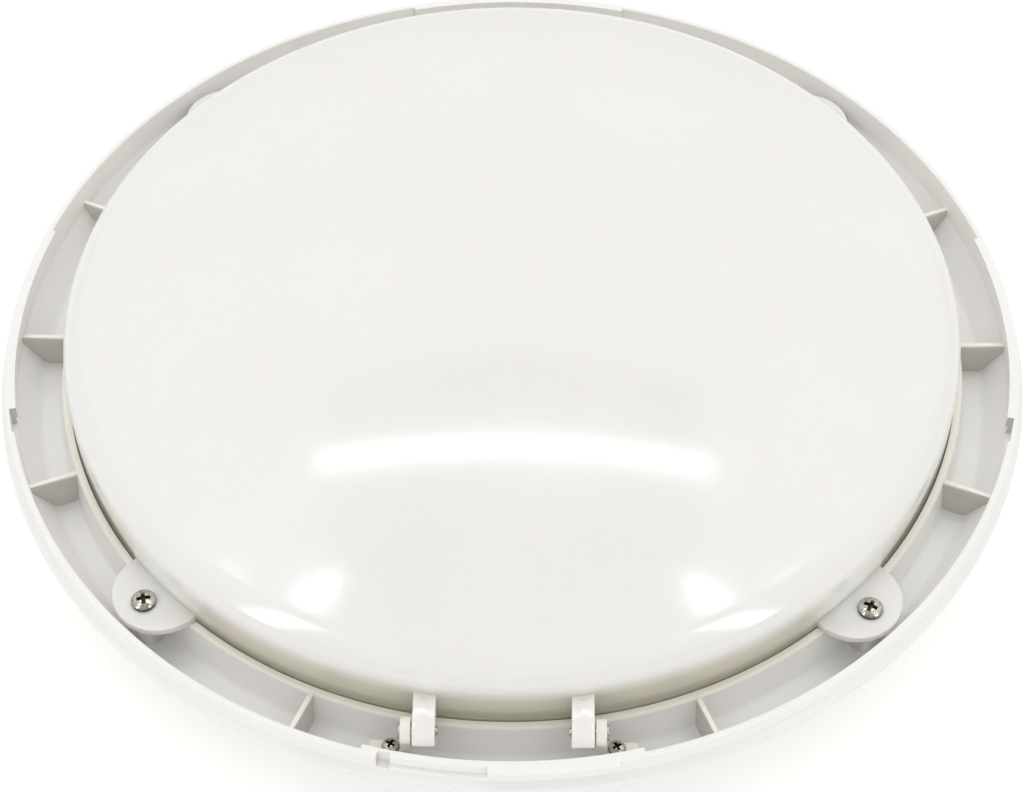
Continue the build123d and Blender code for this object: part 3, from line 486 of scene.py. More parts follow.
def painted_edge_light_and_rib_shade(material, place):
    """Painted cream light on the tops of wall and ribs, and painted grey shade on rib faces."""
    base = sizes("ceiling_light_base")
    colours = sizes("ceiling_light_finish")
    axes = put(material, "ShaderNodeSeparateXYZ", links={"Vector": place})
    # Painted shade greys the faces of the ribs, the ones that look along the channel
    along = put(
        material, "ShaderNodeVectorMath", {"operation": "CROSS_PRODUCT", 1: (0, 0, 1)}, {0: place}
    )
    along = put(material, "ShaderNodeVectorMath", {"operation": "NORMALIZE"}, {0: along})
    normal = put(material, "ShaderNodeTexCoord").outputs["Normal"]
    facing = put(
        material, "ShaderNodeVectorMath", {"operation": "DOT_PRODUCT"}, {0: along, 1: normal}
    ).outputs["Value"]
    squared = put(material, "ShaderNodeMath", {"operation": "MULTIPLY"}, {0: facing, 1: facing})
    thin = put(
        material, "ShaderNodeMapRange", {"From Min": 0.6, "From Max": 0.95}, {"Value": squared}
    )
    # The painted cream light is strongest on the wall and fades out along the ribs
    outwards = put(
        material,
        "ShaderNodeMapRange",
        {
            "From Min": base.wall_outer + MM,
            "From Max": base.wall_outer + 14 * MM,
            "To Min": 1.0,
            "To Max": 0.1,
        },
        {"Value": radius_at(material, axes)},
    )
    upwards = put(
        material,
        "ShaderNodeMapRange",
        {"From Min": base.wall_top - 1.4 * MM, "From Max": base.wall_top - 0.2 * MM},
        {"Value": axes.outputs["Z"]},
    )
    edge = put(material, "ShaderNodeMath", {"operation": "MULTIPLY"}, {0: outwards, 1: upwards})
    return ((thin, colours.painted_rib_shade), (edge, colours.painted_wall_edge_light))


def painted_side_shade(material, place):
    """Where painted shade lies: warm grey on the diffuser's side, and greyer white on its ears."""
    diffuser = sizes("ceiling_light_diffuser")
    colours = sizes("ceiling_light_finish")
    outside = diffuser.side_radius + 0.1 * MM
    axes = put(material, "ShaderNodeSeparateXYZ", links={"Vector": place})
    radius = radius_at(material, axes)
    height = put(
        material,
        "ShaderNodeMapRange",
        {"From Min": diffuser.skirt_bottom, "From Max": diffuser.shoulder},
        {"Value": axes.outputs["Z"]},
    )
    # Painted shade, deepest just above the wall of the base and paler again down in the gap
    levels = ((0, 0.1), (1, 0), (0.22, 0.4), (0.34, 1), (0.57, 0.82), (0.734, 0.7), (0.894, 0.34))
    depth = put(
        material,
        "ShaderNodeValToRGB",
        links={"Fac": height},
        stops=[(share, (level, level, level, 1)) for share, level in levels],
    )
    # The painted shade runs out over the roots of the ears and arms, and is weaker on them
    inwards = put(
        material,
        "ShaderNodeMapRange",
        {
            "From Min": outside,
            "From Max": diffuser.side_radius + 6 * MM,
            "To Min": 1.0,
            "To Max": 0.0,
        },
        {"Value": radius},
    )
    beyond = put(
        material, "ShaderNodeMath", {"operation": "GREATER_THAN", 1: outside}, {0: radius}
    )
    weaker = put(
        material, "ShaderNodeMath", {"operation": "MULTIPLY_ADD", 1: -0.7, 2: 1.0}, {0: beyond}
    )
    # Painted shade: deepest in front, pale by the ears, which lie the same in all four quarters
    frontal = put(
        material,
        "ShaderNodeMapRange",
        {"From Min": -115 * MM, "From Max": -40 * MM, "To Min": 1.0, "To Max": 0.25},
        {"Value": axes.outputs["Y"]},
    )
    quarter = put(material, "ShaderNodeVectorMath", {"operation": "ABSOLUTE"}, {0: place})
    ear = direction(EAR_AZIMUTHS["front_right"]) * diffuser.ear_hole_place
    away = put(
        material,
        "ShaderNodeVectorMath",
        {"operation": "DISTANCE", 1: (abs(ear.x), abs(ear.y), diffuser.ear_top)},
        {0: quarter},
    ).outputs["Value"]
    clear = put(
        material,
        "ShaderNodeMapRange",
        {"From Min": 10 * MM, "From Max": 25 * MM, "To Min": 0.0, "To Max": 1.0},
        {"Value": away},
    )
    side = depth
    for factor in (frontal, clear, weaker, inwards):
        side = put(material, "ShaderNodeMath", {"operation": "MULTIPLY"}, {0: side, 1: factor})
    below = put(
        material,
        "ShaderNodeMath",
        {"operation": "LESS_THAN", 1: diffuser.ear_top + 0.2 * MM},
        {0: axes.outputs["Z"]},
    )
    ears = put(material, "ShaderNodeMath", {"operation": "MULTIPLY"}, {0: beyond, 1: below})
    return ((ears, colours.painted_opal_ear_shade), (side, colours.painted_opal_side_shade))


def painted_recess_shade(material, place):
    """Where painted near-black shade lies: the cross recess and the foot of a screw's head."""
    foot_seat = sizes("ceiling_light_base").floor + FOOT_RISE
    step = sizes("ceiling_light_diffuser").ear_top - foot_seat
    axes = put(material, "ShaderNodeSeparateXYZ", links={"Vector": place})
    above = put(
        material, "ShaderNodeMath", {"operation": "SUBTRACT", 1: foot_seat}, {0: axes.outputs["Z"]}
    )
    # The two kinds of screw sit at two heights, so the height in a head repeats at that step
    height = put(
        material, "ShaderNodeMath", {"operation": "FLOORED_MODULO", 1: step}, {0: above}
    )
    low = put(
        material,
        "ShaderNodeMapRange",
        {"From Min": 0.85 * MM, "From Max": 1.35 * MM, "To Min": 0.95, "To Max": 0.0},
        {"Value": height},
    )
    return ((low, sizes("ceiling_light_finish").recess),)


def finishes():
    """Makes every finish once and returns them by the slot of the record that they dress."""
    colours = sizes("ceiling_light_finish")
    metal = {"Metallic": 1.0}
    # For each slot a name, the dark and the light tone of the cloud, sizes of cloud, grain and
    # relief in millimetres, the lowest and highest roughness, settings and further tones
    # The further tones are painted light and painted shade
    rows = {
        # White ABS from a spark-eroded mould: satin, with a fine even grain
        # With painted cream light on the tops of wall and ribs, and painted grey shade on rib faces
        "housing_white": (
            "spark_eroded_white_abs", "F3F2F0", colours.housing,
            35, 0.5, 0.012, (0.34, 0.46), {"IOR": 1.5}, painted_edge_light_and_rib_shade,
        ),
        # Opal polycarbonate from a polished mould: glossy skin over a milky body
        # With painted shade down its side and on its ears
        "opal": (
            "polished_opal_polycarbonate", "F0EEEA", colours.opal, 60, 4, 0.004, (0.10, 0.14),
            {"IOR": 1.58, "Subsurface Weight": 0.25, "Subsurface Scale": 3 * MM}, painted_side_shade,
        ),
        # Closed-cell silicone foam: matt, pitted
        "seal_white": (
            "silicone_foam_seal", "D5D5D0", "E2E2DD", 5, 0.8, 0.15, (0.7, 0.85), {"IOR": 1.41},
        ),
        # White nylon from a smooth mould: a little waxy
        "bracket_white": (
            "moulded_white_nylon", "EBE9E2", "F1EFE9", 8, 0.6, 0.01, (0.28, 0.4), {"IOR": 1.53},
        ),
        # Drawn stainless wire: fine lengthwise streaks, mirror-like
        "pin_steel": (
            "drawn_stainless_steel", "B5B3AE", "C9C7C2", 3, 0.3, 0.01, (0.2, 0.35), metal,
        ),
        # Passivated zinc: shiny on the high spots, with painted near-black shade in the recess
        "screw_dark": (
            "dark_passivated_zinc", "A9A598", colours.screw,
            1.5, 0.3, 0.02, (0.12, 0.26), metal, painted_recess_shade,
        ),
        # Bright zinc plate on steel: silver with a bluish cloud
        "screw_zinc": (
            "bright_zinc_plated_steel", "AEB2B5", "C4C6C7", 2, 0.3, 0.01, (0.22, 0.36), metal,
        ),
        # Turned brass, knurled to hold in the boss
        "insert_brass": (
            "turned_brass", "B08D45", "C8A45A", 2, 0.4, 0.06, (0.25, 0.38), metal,
        ),
        # White polyester powder on sheet steel: the soft ripple of a baked powder coat
        "tray_paint": (
            "powder_coated_sheet_steel", "E8E8E5", "F0F0ED",
            40, 1.2, 0.03, (0.35, 0.5), {"IOR": 1.5},
        ),
        # White solder mask on an aluminium board: smooth, slightly glossy
        "board_white": (
            "white_solder_mask", "E2E3E0", "EDEEEB", 15, 0.8, 0.01, (0.25, 0.35), {"IOR": 1.55},
        ),
        # Yellow phosphor cast in silicone, in each chip
        "chip_yellow": (
            "phosphor_filled_silicone", "D9A833", "E8BF4C",
            1.5, 0.2, 0.02, (0.3, 0.5), {"IOR": 1.41},
        ),
        # Soft aluminium, drawn up by the rivet gun
        "rivet_aluminium": (
            "annealed_aluminium", "BFC0C0", "D2D3D3", 2, 0.3, 0.02, (0.3, 0.45), metal,
        ),
        # Clear acrylic lens: water-clear, with a faint ripple from the mould
        "lens_clear": (
            "clear_moulded_acrylic", "F4F6F6", "FCFDFD", 20, 3, 0.005, (0.02, 0.05),
            {"IOR": 1.49, "Transmission Weight": 0.9},
        ),
        # White polycarbonate cases of the gear: satin
        "case_white": (
            "textured_white_polycarbonate", "DFDFDB", "E9E9E5",
            20, 0.7, 0.04, (0.4, 0.55), {"IOR": 1.58},
        ),
        # Heat-shrunk sleeve round the cells: taut and shiny
        "cell_sleeve": (
            "heat_shrunk_pvc_sleeve", "3F7FA3", "4C8DB0", 10, 2, 0.05, (0.18, 0.3), {"IOR": 1.53},
        ),
        # Black dipped vinyl: thick and soft, with a dull sheen
        "cap_black": (
            "dipped_black_vinyl", "1D1D1F", "28282A", 6, 0.8, 0.05, (0.4, 0.55), {"IOR": 1.53},
        ),
        # White polypropylene from a mould: satin and waxy
        "holder_white": (
            "moulded_white_polypropylene", "E3E2DE", "ECEBE7",
            10, 0.8, 0.02, (0.38, 0.5), {"IOR": 1.49},
        ),
        # Natural polyamide of terminal blocks: creamy, slightly waxy
        "terminal_cream": (
            "natural_polyamide", "DDD3B6", "E8DFC6", 8, 0.6, 0.02, (0.35, 0.48), {"IOR": 1.53},
        ),
        # Black polyamide from a mould: satin
        "switch_black": (
            "moulded_black_polyamide", "202022", "2C2C2E", 6, 0.5, 0.02, (0.35, 0.5), {"IOR": 1.53},
        ),
        # Green acrylic of the button and of the charge indicator: glossy
        "button_green": (
            "tinted_green_acrylic", "2E9A55", "3CAF66", 4, 1, 0.005, (0.12, 0.2), {"IOR": 1.49},
        ),
        # Extruded soft PVC round the leads, white and red: smooth and satin
        "lead_white": (
            "extruded_white_pvc", "E2E1DD", "EDECE8", 5, 0.7, 0.02, (0.35, 0.48), {"IOR": 1.53},
        ),
        "lead_red": (
            "extruded_red_pvc", "A8231F", "BC2E28", 5, 0.7, 0.02, (0.35, 0.48), {"IOR": 1.53},
        ),
    }
    return {slot: moulded(*row) for slot, row in rows.items()}


FINISH_NAMES = {}


def dress(piece, slot):
    """Gives a piece the finish of a slot; the first use makes them all."""
    if FINISH_NAMES.get(slot, "") not in bpy.data.materials:
        FINISH_NAMES.update({key: material.name for key, material in finishes().items()})
    piece.data.materials.clear()
    piece.data.materials.append(bpy.data.materials[FINISH_NAMES[slot]])


class CEILINGLIGHT_OT_base(bpy.types.Operator):
    """Model the base housing: a turned section with ribs, bosses, lock-on stations and holes."""

    bl_idname = "ceiling_light.base"
    bl_label = "Base housing"

    def execute(self, context):
        b = sizes("ceiling_light_base")
        d = sizes("ceiling_light_diffuser")
        sink = 0.8 * MM
        slope_top = b.lip_inner - 0.8 * MM
        slope_height = b.lip_top - 9.5 * MM
        slope_foot = b.wall_outer + 9 * MM
        channel_foot = b.wall_outer + 1.4 * MM
        pan_outer = b.pan_radius + b.wall
        ledge_under = b.ledge - b.wall
        floor_under = b.floor - b.wall
        core = channel_foot - b.wall
        run = slope_top - slope_foot
        rise = slope_height - b.floor
        offset = b.wall * math.hypot(run, rise) / rise
        edge_top = b.lip_top - 7.3 * MM
        entry = 10 * MM
        collar = entry + 2.5 * MM
        collar_top = b.back + 6 * MM
        kerb_top = b.ledge + 1.5 * MM
        housing = outline("base_moulding", section((
            (entry, 0),
            (pan_outer, 0),
            (pan_outer, ledge_under),
            (core, ledge_under),
            (core, floor_under),
            (slope_foot + offset - b.wall * run / rise, floor_under),
            (slope_top + offset - run / rise * MM, slope_height - MM),
            (b.flange_radius, edge_top - 1.3 * MM),
            (b.flange_radius, edge_top),
            (b.lip_outer, b.lip_top - 5.4 * MM),
            (b.lip_outer, b.lip_top),
            (b.lip_inner, b.lip_top),
            (slope_top, slope_height),
            (slope_foot, b.floor),
            (channel_foot, b.floor),
            (b.wall_outer, b.wall_top),
            (b.wall_inner, b.wall_top),
            (b.wall_inner, b.ledge),
            (b.kerb_radius, b.ledge),
            (b.kerb_radius, kerb_top),
            (b.pan_radius, kerb_top),
            (b.pan_radius, b.back),
            (collar, b.back),
            (collar, collar_top),
            (entry, collar_top),
        )))
        lip_edges = (
            (b.lip_inner, b.lip_top),
            (b.lip_outer, b.lip_top),
            (b.flange_radius, edge_top),
        )
        floor_edges = ((slope_foot, b.floor), (channel_foot, b.floor), (pan_outer, 0))
        fine_edges = (
            (b.wall_inner, b.wall_top),
            (b.kerb_radius, kerb_top),
            (b.pan_radius, kerb_top),
            (collar, collar_top),
            (b.lip_outer, b.lip_top - 5.4 * MM),
            (slope_top, slope_height),
        )
        round_corners(housing, floor_edges, 1.5 * MM, 4)
        round_corners(housing, lip_edges, 0.5 * MM)
        round_corners(housing, ((b.wall_outer, b.wall_top),), 0.9 * MM, 5)
        round_corners(housing, fine_edges, 0.3 * MM, 2)
        lathe(housing)

        rib = slab("rib", [(x, -0.8 * MM, z) for x, z in (
            (b.wall_outer - sink, b.floor - sink),
            (slope_foot, b.floor - sink),
            (slope_top + sink, slope_height),
            (slope_top + sink, b.wall_top),
            (b.wall_outer - sink, b.wall_top),
        )], (0, 1.6 * MM, 0))
        round_edges(rib, 0.25 * MM, 2, lambda co: near(co.z, b.wall_top))
        combine(housing, copies(close(rib), RIB_AZIMUTHS), "UNION")

        gusset = slab("gusset", [(x, -1 * MM, z) for x, z in (
            (pan_outer - sink, 3 * MM),
            (pan_outer + sink, 3 * MM),
            (slope_foot - 3 * MM, floor_under + sink),
            (core, floor_under + sink),
            (core, ledge_under + sink),
            (pan_outer - sink, ledge_under + sink),
        )], (0, 2 * MM, 0))
        bpy.ops.object.mode_set(mode="OBJECT")
        combine(housing, copies(gusset, [15 + 30 * index for index in range(12)]), "UNION")

        ears = EAR_AZIMUTHS.values()
        boss = cylinder(
            "boss", (d.ear_hole_place, 0), 5.4 * MM, b.floor - sink, b.wall_top, rounding=0.3 * MM
        )
        combine(housing, copies(boss, ears), "UNION")
        web = slab("web", [(x, -1 * MM, z) for x, z in (
            (d.ear_hole_place, b.floor - sink),
            (slope_foot, b.floor - sink),
            (slope_top + sink, slope_height),
            (d.ear_hole_place, slope_height),
        )], (0, 2 * MM, 0))
        bpy.ops.object.mode_set(mode="OBJECT")
        combine(housing, copies(web, ears), "UNION")

        foot_under = b.floor + 6.7 * MM
        feet = [(side * FOOT_SCREW_X, d.hinge_y + FOOT_SCREW_BACK) for side in (-1, 1)]
        bosses = [
            cylinder("screw_boss", place, 3.4 * MM, b.floor - sink, foot_under) for place in feet
        ]
        combine(housing, joined(bosses), "UNION")

        step = b.lip_inner - 1.3 * MM
        stations = [
            sector("station", step, b.lip_inner + sink, b.lip_top - 5 * MM, b.lip_top, span)
            for span in ((-14.3, 14.3), (77.3, 105), (166.2, 193.8), (255, 282.7))
        ]
        combine(housing, joined(stations), "UNION")
        hook_low = b.lip_top - 2.3 * MM
        hook_span = (-1.5, 11.6)
        hook = sector(
            "hook", step + 0.2 * MM, b.lip_outer + 1.1 * MM, hook_low, b.lip_top, hook_span
        )
        edit(hook)
        round_edges(
            hook, 0.4 * MM, 3, lambda co: near(co.z, b.lip_top) and co.length > b.lip_outer
        )
        combine(housing, close(hook), "UNION")

        above = b.lip_top + 2 * MM
        notch_low = b.lip_top - 8 * MM
        notches = [
            sector("notch", slope_top - sink, b.lip_inner + 0.9 * MM, notch_low, above, span)
            for span in ((73.9, 77.3), (282.7, 286.1))
        ]
        combine(housing, joined(notches), "DIFFERENCE")
        outside = b.flange_radius + MM
        way_low = b.lip_top - 3.5 * MM
        way_in = sector(
            "way_in", b.lip_inner - 0.4 * MM, outside, b.lip_top - 5 * MM, above, (-12.6, -11.29)
        )
        combine(housing, way_in, "DIFFERENCE")
        way_along = sector("way", b.lip_outer - 1.3 * MM, outside, way_low, above, (-11.3, -1.5))
        combine(housing, way_along, "DIFFERENCE")
        groove = sector(
            "groove", b.lip_outer - 0.8 * MM, outside, hook_low - 1.7 * MM, hook_low, hook_span
        )
        combine(housing, groove, "DIFFERENCE")

        pads = [(x * MM, y * MM) for x, y in ((52, -98), (-52, -98), (69, -55), (-69, -55))]
        posts = [131 * MM * direction(azimuth) for azimuth in (45, 135, 225, 315)]
        fixings = [115 * MM * direction(azimuth) for azimuth in (60, 180, 300)]
        root = b.back - sink
        bars = [cylinder("pad", place, 3.8 * MM, root, b.back + 5 * MM) for place in pads]
        bars += [
            cylinder("post", place, 4.5 * MM, root, b.ledge, rounding=0.2 * MM) for place in posts
        ]
        bars += [
            cylinder("seat", place, 8 * MM, root, b.back + 2 * MM, rounding=0.4 * MM)
            for place in fixings
        ]
        combine(housing, joined(bars), "UNION")

        # Ceiling screws, screws of a conduit box, the second cable entry, inserts of the ear
        # screws, bracket screws, tray screws and gear screws
        inserts = [d.ear_hole_place * direction(azimuth) for azimuth in ears]
        holes = [
            cylinder("hole", place, radius, low, top, sides)
            for places, radius, low, top, sides in (
                (fixings, 2.75 * MM, -MM, b.back + 3 * MM, 48),
                (((-25.4 * MM, 0), (25.4 * MM, 0)), 2.25 * MM, -MM, b.back + MM, 48),
                (((-60 * MM, 0),), entry, -MM, b.back + MM, 96),
                (inserts, 3.25 * MM, b.wall_top - 8.3 * MM, b.wall_top + MM, 48),
                (feet, 1.35 * MM, foot_under - 5.7 * MM, foot_under + MM, 48),
                (posts, 1.55 * MM, b.ledge - 10 * MM, b.ledge + MM, 48),
                (pads, 1.45 * MM, b.back, b.back + 6 * MM, 48),
            )
            for place in places
        ]
        combine(housing, joined(holes), "DIFFERENCE")
        finish(housing, "base", "housing_white", "base_housing")
        return {"FINISHED"}


class CEILINGLIGHT_OT_diffuser(bpy.types.Operator):
    """Model the opal diffuser: a turned shell with four ears and two hinge arms."""

    bl_idname = "ceiling_light.diffuser"
    bl_label = "Diffuser"

    def execute(self, context):
        d = sizes("ceiling_light_diffuser")

        def shell_section(side, crease_height, crown):
            """The side, a tight and a wide arc of the shoulder and the dome, from skirt to pole."""
            # Degrees from level where the tight arc turns into the wide one, and where that ends
            tight_end, wide_end = 44, 64
            leave, turn_in = math.radians(90 - wide_end), math.radians(90 - tight_end)
            run = side - d.crease_radius
            rise = crease_height - d.shoulder
            out_wide, out_tight = math.sin(turn_in) - math.sin(leave), 1 - math.sin(turn_in)
            down_wide, down_tight = math.cos(leave) - math.cos(turn_in), math.cos(turn_in)
            # The radii with which the two arcs together span the run and the rise
            share = out_wide * down_tight - out_tight * down_wide
            wide = (run * down_tight - out_tight * rise) / share
            tight = (out_wide * rise - down_wide * run) / share
            inset, drop = wide * math.sin(leave), wide * math.cos(leave)
            centre = (d.crease_radius - inset, crease_height - drop)
            sag = crown - crease_height
            dome = (d.crease_radius**2 + sag**2) / (2 * sag)
            spread = math.degrees(math.asin(d.crease_radius / dome))
            return [
                (side, d.skirt_bottom),
                *arc((side - tight, d.shoulder), tight, 0, tight_end, 10),
                *arc(centre, wide, tight_end, wide_end, 8)[1:],
                *arc((0, crown - dome), dome, 90 - spread, 90, 36)[1:],
            ]

        outer = shell_section(d.side_radius, d.crease, d.crown)
        inner = shell_section(d.side_radius - d.wall, d.crease - d.wall, d.crown - d.wall)
        shell = outline("opal_moulding", section([*reversed(inner), *outer]))
        clear_axis(shell)
        round_corners(shell, ((d.crease_radius, d.crease),), 0.8 * MM, 4)
        round_corners(shell, ((d.side_radius, d.skirt_bottom),), 0.4 * MM, 2)
        lathe(shell)

        middle = d.side_radius - d.wall / 2
        ear_place = (d.side_radius + 1.2 * MM, 0)
        ear = cylinder("ear", ear_place, d.ear_radius, d.ear_bottom, d.ear_top, 128, 0.5 * MM)
        ears = copies(ear, EAR_AZIMUTHS.values())
        below, above = d.ear_bottom - MM, d.ear_top + MM
        core = cylinder("core", (0, 0), middle, below, above, LATHE_STEPS)
        combine(ears, core, "DIFFERENCE")
        combine(shell, ears, "UNION")

        eye = 5.2 * MM
        top = d.hinge_z + eye
        low = d.hinge_z - eye
        hinge = (d.hinge_y, d.hinge_z)
        arm_root = -0.1477
        points = [(arm_root, low), (arm_root, top), *arc(hinge, eye, 90, 270, 4)]
        arms = []
        for side in (-1, 1):
            inner = side * 20.3 * MM
            arm = slab("arm", [(inner, y, z) for y, z in points], (side * 6.8 * MM, 0, 0))
            soften(arm, 0.4 * MM)
            arms.append(arm)
        arms = joined(arms)
        core = cylinder("core", (0, 0), middle, low - MM, top + MM, LATHE_STEPS)
        combine(arms, core, "DIFFERENCE")
        combine(shell, arms, "UNION")

        # Holes of the ear screws, a round moulding mark on each arm and the bore of the pins
        cuts = [
            cylinder("hole", d.ear_hole_place * direction(azimuth), 2.4 * MM, below, above)
            for azimuth in EAR_AZIMUTHS.values()
        ]
        cuts += [
            cylinder("mark", (side * 23.7 * MM, -151.9 * MM), 0.9 * MM, top - 0.3 * MM, top + MM)
            for side in (-1, 1)
        ]
        cuts.append(close(rod("bore", hinge, PIN_BORE, -30 * MM, 30 * MM, 48)))
        combine(shell, joined(cuts), "DIFFERENCE")
        finish(shell, "diffuser_door", "opal", "diffuser", angle=24)
        return {"FINISHED"}


class CEILINGLIGHT_OT_hinge(bpy.types.Operator):
    """Model the two hinge brackets and their pins."""

    bl_idname = "ceiling_light.hinge"
    bl_label = "Hinge brackets and pins"

    def execute(self, context):
        b = sizes("ceiling_light_base")
        d = sizes("ceiling_light_diffuser")
        lug_inner = 27.55 * MM
        foot_top = b.floor + FOOT_RISE
        foot_low = foot_top - 2.8 * MM
        hinge = (d.hinge_y, d.hinge_z)
        back = d.hinge_y + 5.1 * MM
        front = d.hinge_y - 1.9 * MM
        foot_back = d.hinge_y + 3.4 * MM
        foot_section = ((0.4, foot_low), (0.4, foot_top), (13.2, foot_top), (13.2, foot_low))
        for side, name in ((-1, "left"), (1, "right")):
            points = [*arc(hinge, 4.2 * MM, 0, 180, 14), (front, foot_low), (back, foot_low)]
            inner = side * lug_inner
            lug = slab("lug", [(inner, y, z) for y, z in points], (side * 3.2 * MM, 0, 0))
            soften(lug, 0.35 * MM)
            points = [(side * (lug_inner + x * MM), foot_back, z) for x, z in foot_section]
            foot = slab("foot", points, (0, front - foot_back, 0))
            soften(foot, 0.3 * MM)
            combine(lug, foot, "UNION")
            screw = (side * FOOT_SCREW_X, d.hinge_y + FOOT_SCREW_BACK)
            hole = cylinder("hole", screw, 1.35 * MM, foot_low - MM, foot_top + MM)
            bore = close(rod("bore", hinge, PIN_BORE, side * 27 * MM, side * 32 * MM, 48))
            combine(lug, joined([hole, bore]), "DIFFERENCE")
            lug.name = f"moulded_bracket_{name}"
            finish(lug, "base", "bracket_white", f"hinge_bracket_{name}")

        pins = []
        for side in (-1, 1):
            start = 19.6 * MM
            neck = 30.75 * MM
            end = neck + 0.8 * MM
            pin = rod("pin", hinge, 1.5 * MM, side * start, side * neck)
            round_edges(pin, 0.3 * MM, 2, lambda co: near(abs(co.x), start))
            close(pin)
            head = rod("head", hinge, 2.4 * MM, side * neck, side * end)
            round_edges(head, 0.4 * MM, 3, lambda co: near(abs(co.x), end))
            combine(pin, close(head), "UNION")
            pins.append(pin)
        pins = joined(pins)
        pins.name = "headed_pins"
        finish(pins, "base", "pin_steel", "hinge_pins")
        return {"FINISHED"}


class CEILINGLIGHT_OT_screws(bpy.types.Operator):
    """Model the cross-recess screws of the ears and of the brackets."""

    bl_idname = "ceiling_light.screws"
    bl_label = "Screws"

    def pan_head_screw(self, name, head, height, shank, depth, point, taper):
        """A pan-head screw with its head on z = 0: turned blank, ridges of thread, cross recess."""
        ridge = 0.35 * MM
        core = shank - 0.25 * MM
        count = int((depth - taper) / ridge)
        thread = [(core if index % 2 else shank, -index * ridge) for index in range(count)]
        edge = 0.35 * height
        crown = [
            (head * math.cos(turn), edge + (height - edge) * math.sin(turn))
            for turn in (math.pi / 2 * index / 8 for index in range(8))
        ]
        points = [(0, height), *reversed(crown), (head, edge), (head - 0.15 * MM, 0), *thread]
        points += [(core, taper - depth), (point, -depth), (0, -depth)]
        blank = outline(name, section(points))
        clear_axis(blank)
        lathe(blank, 48)
        # Each slot of the cross narrows towards its floor
        low = 0.28 * height
        span = 0.68 * head
        floor = 0.58 * span
        slot = ((-floor, low), (floor, low), (span, height + MM), (-span, height + MM))
        wings = []
        for azimuth in (0, 90):
            points = [(x, -0.16 * head, z) for x, z in slot]
            wing = slab("wing", points, (0, 0.32 * head, 0))
            turn(azimuth)
            wings.append(close(wing))
        for wing in wings:
            combine(blank, wing, "DIFFERENCE")
        return blank

    def execute(self, context):
        b = sizes("ceiling_light_base")
        d = sizes("ceiling_light_diffuser")
        form = self.pan_head_screw(
            "ear_screw", 4 * MM, 2.35 * MM, 1.75 * MM, 7 * MM, 1 * MM, 3 * MM
        )
        # How far each screw is turned in, in degrees
        twists = {"front_right": 62, "rear_right": 20, "rear_left": 75, "front_left": 12}
        # A hair over the ear, so that head and ear don't share a plane
        seat = Vector((0, 0, d.ear_top + 0.02 * MM))
        for name, azimuth in EAR_AZIMUTHS.items():
            place = d.ear_hole_place * direction(azimuth) + seat
            screw = duplicate(form, twists[name], place)
            screw.name = f"cross_head_{name}"
            finish(screw, f"screw_{name}", "screw_dark", f"ear_screw_{name}")
        bpy.data.objects.remove(form)
        form = self.pan_head_screw(
            "foot_screw", 2.7 * MM, 2.15 * MM, 1.3 * MM, 7.5 * MM, 0.8 * MM, 1 * MM
        )
        foot_screw_y = d.hinge_y + FOOT_SCREW_BACK
        pair = [
            duplicate(form, 30 * side, (side * FOOT_SCREW_X, foot_screw_y, b.floor + FOOT_RISE))
            for side in (-1, 1)
        ]
        bpy.data.objects.remove(form)
        pair = joined(pair)
        pair.name = "bracket_screws"
        finish(pair, "base", "screw_dark", "hinge_screws")
        return {"FINISHED"}


class CEILINGLIGHT_OT_inside(bpy.types.Operator):
    """Give the pieces of the part that keep their own shape their finishes."""

    bl_idname = "ceiling_light.inside"
    bl_label = "Inside"

    def execute(self, context):
        for row in frame["record"]["subparts"]:
            node = frame["nodes"].get(row["node"])
            if node is not None and row["node"] not in REPLACED:
                dress(node, row["material_slot"])
        return {"FINISHED"}


REPLACED = (
    "base_housing",
    "diffuser",
    "hinge_bracket_left",
    "hinge_bracket_right",
    "hinge_pins",
    "hinge_screws",
    *(f"ear_screw_{name}" for name in EAR_AZIMUTHS),
)


def lamp(name, place, target, size, power):
    """A rectangular lamp with its face turned to a target."""
    bpy.ops.object.light_add(type="AREA", location=place)
    light = bpy.context.active_object
    light.name = name
    light.data.shape = "RECTANGLE"
    light.data.size, light.data.size_y = size
    light.data.energy = power
    light.rotation_euler = (Vector(target) - Vector(place)).to_track_quat("-Z", "Y").to_euler()
    return light


def panel(name, corners, height, strength):
    """A level glowing sheet over the light, seen only in its gloss, from its corners."""
    sheet = outline(name, [(x, y, height) for x, y in corners])
    bpy.ops.mesh.edge_face_add()
    bpy.ops.object.mode_set(mode="OBJECT")
    glow = blank(name)
    surface(glow, put(glow, "ShaderNodeEmission", {"Color": TENT_TINT, "Strength": strength}))
    sheet.data.materials.append(glow)
    sheet.visible_camera = False
    sheet.visible_diffuse = False
    sheet.visible_shadow = False
    sheet.visible_transmission = False


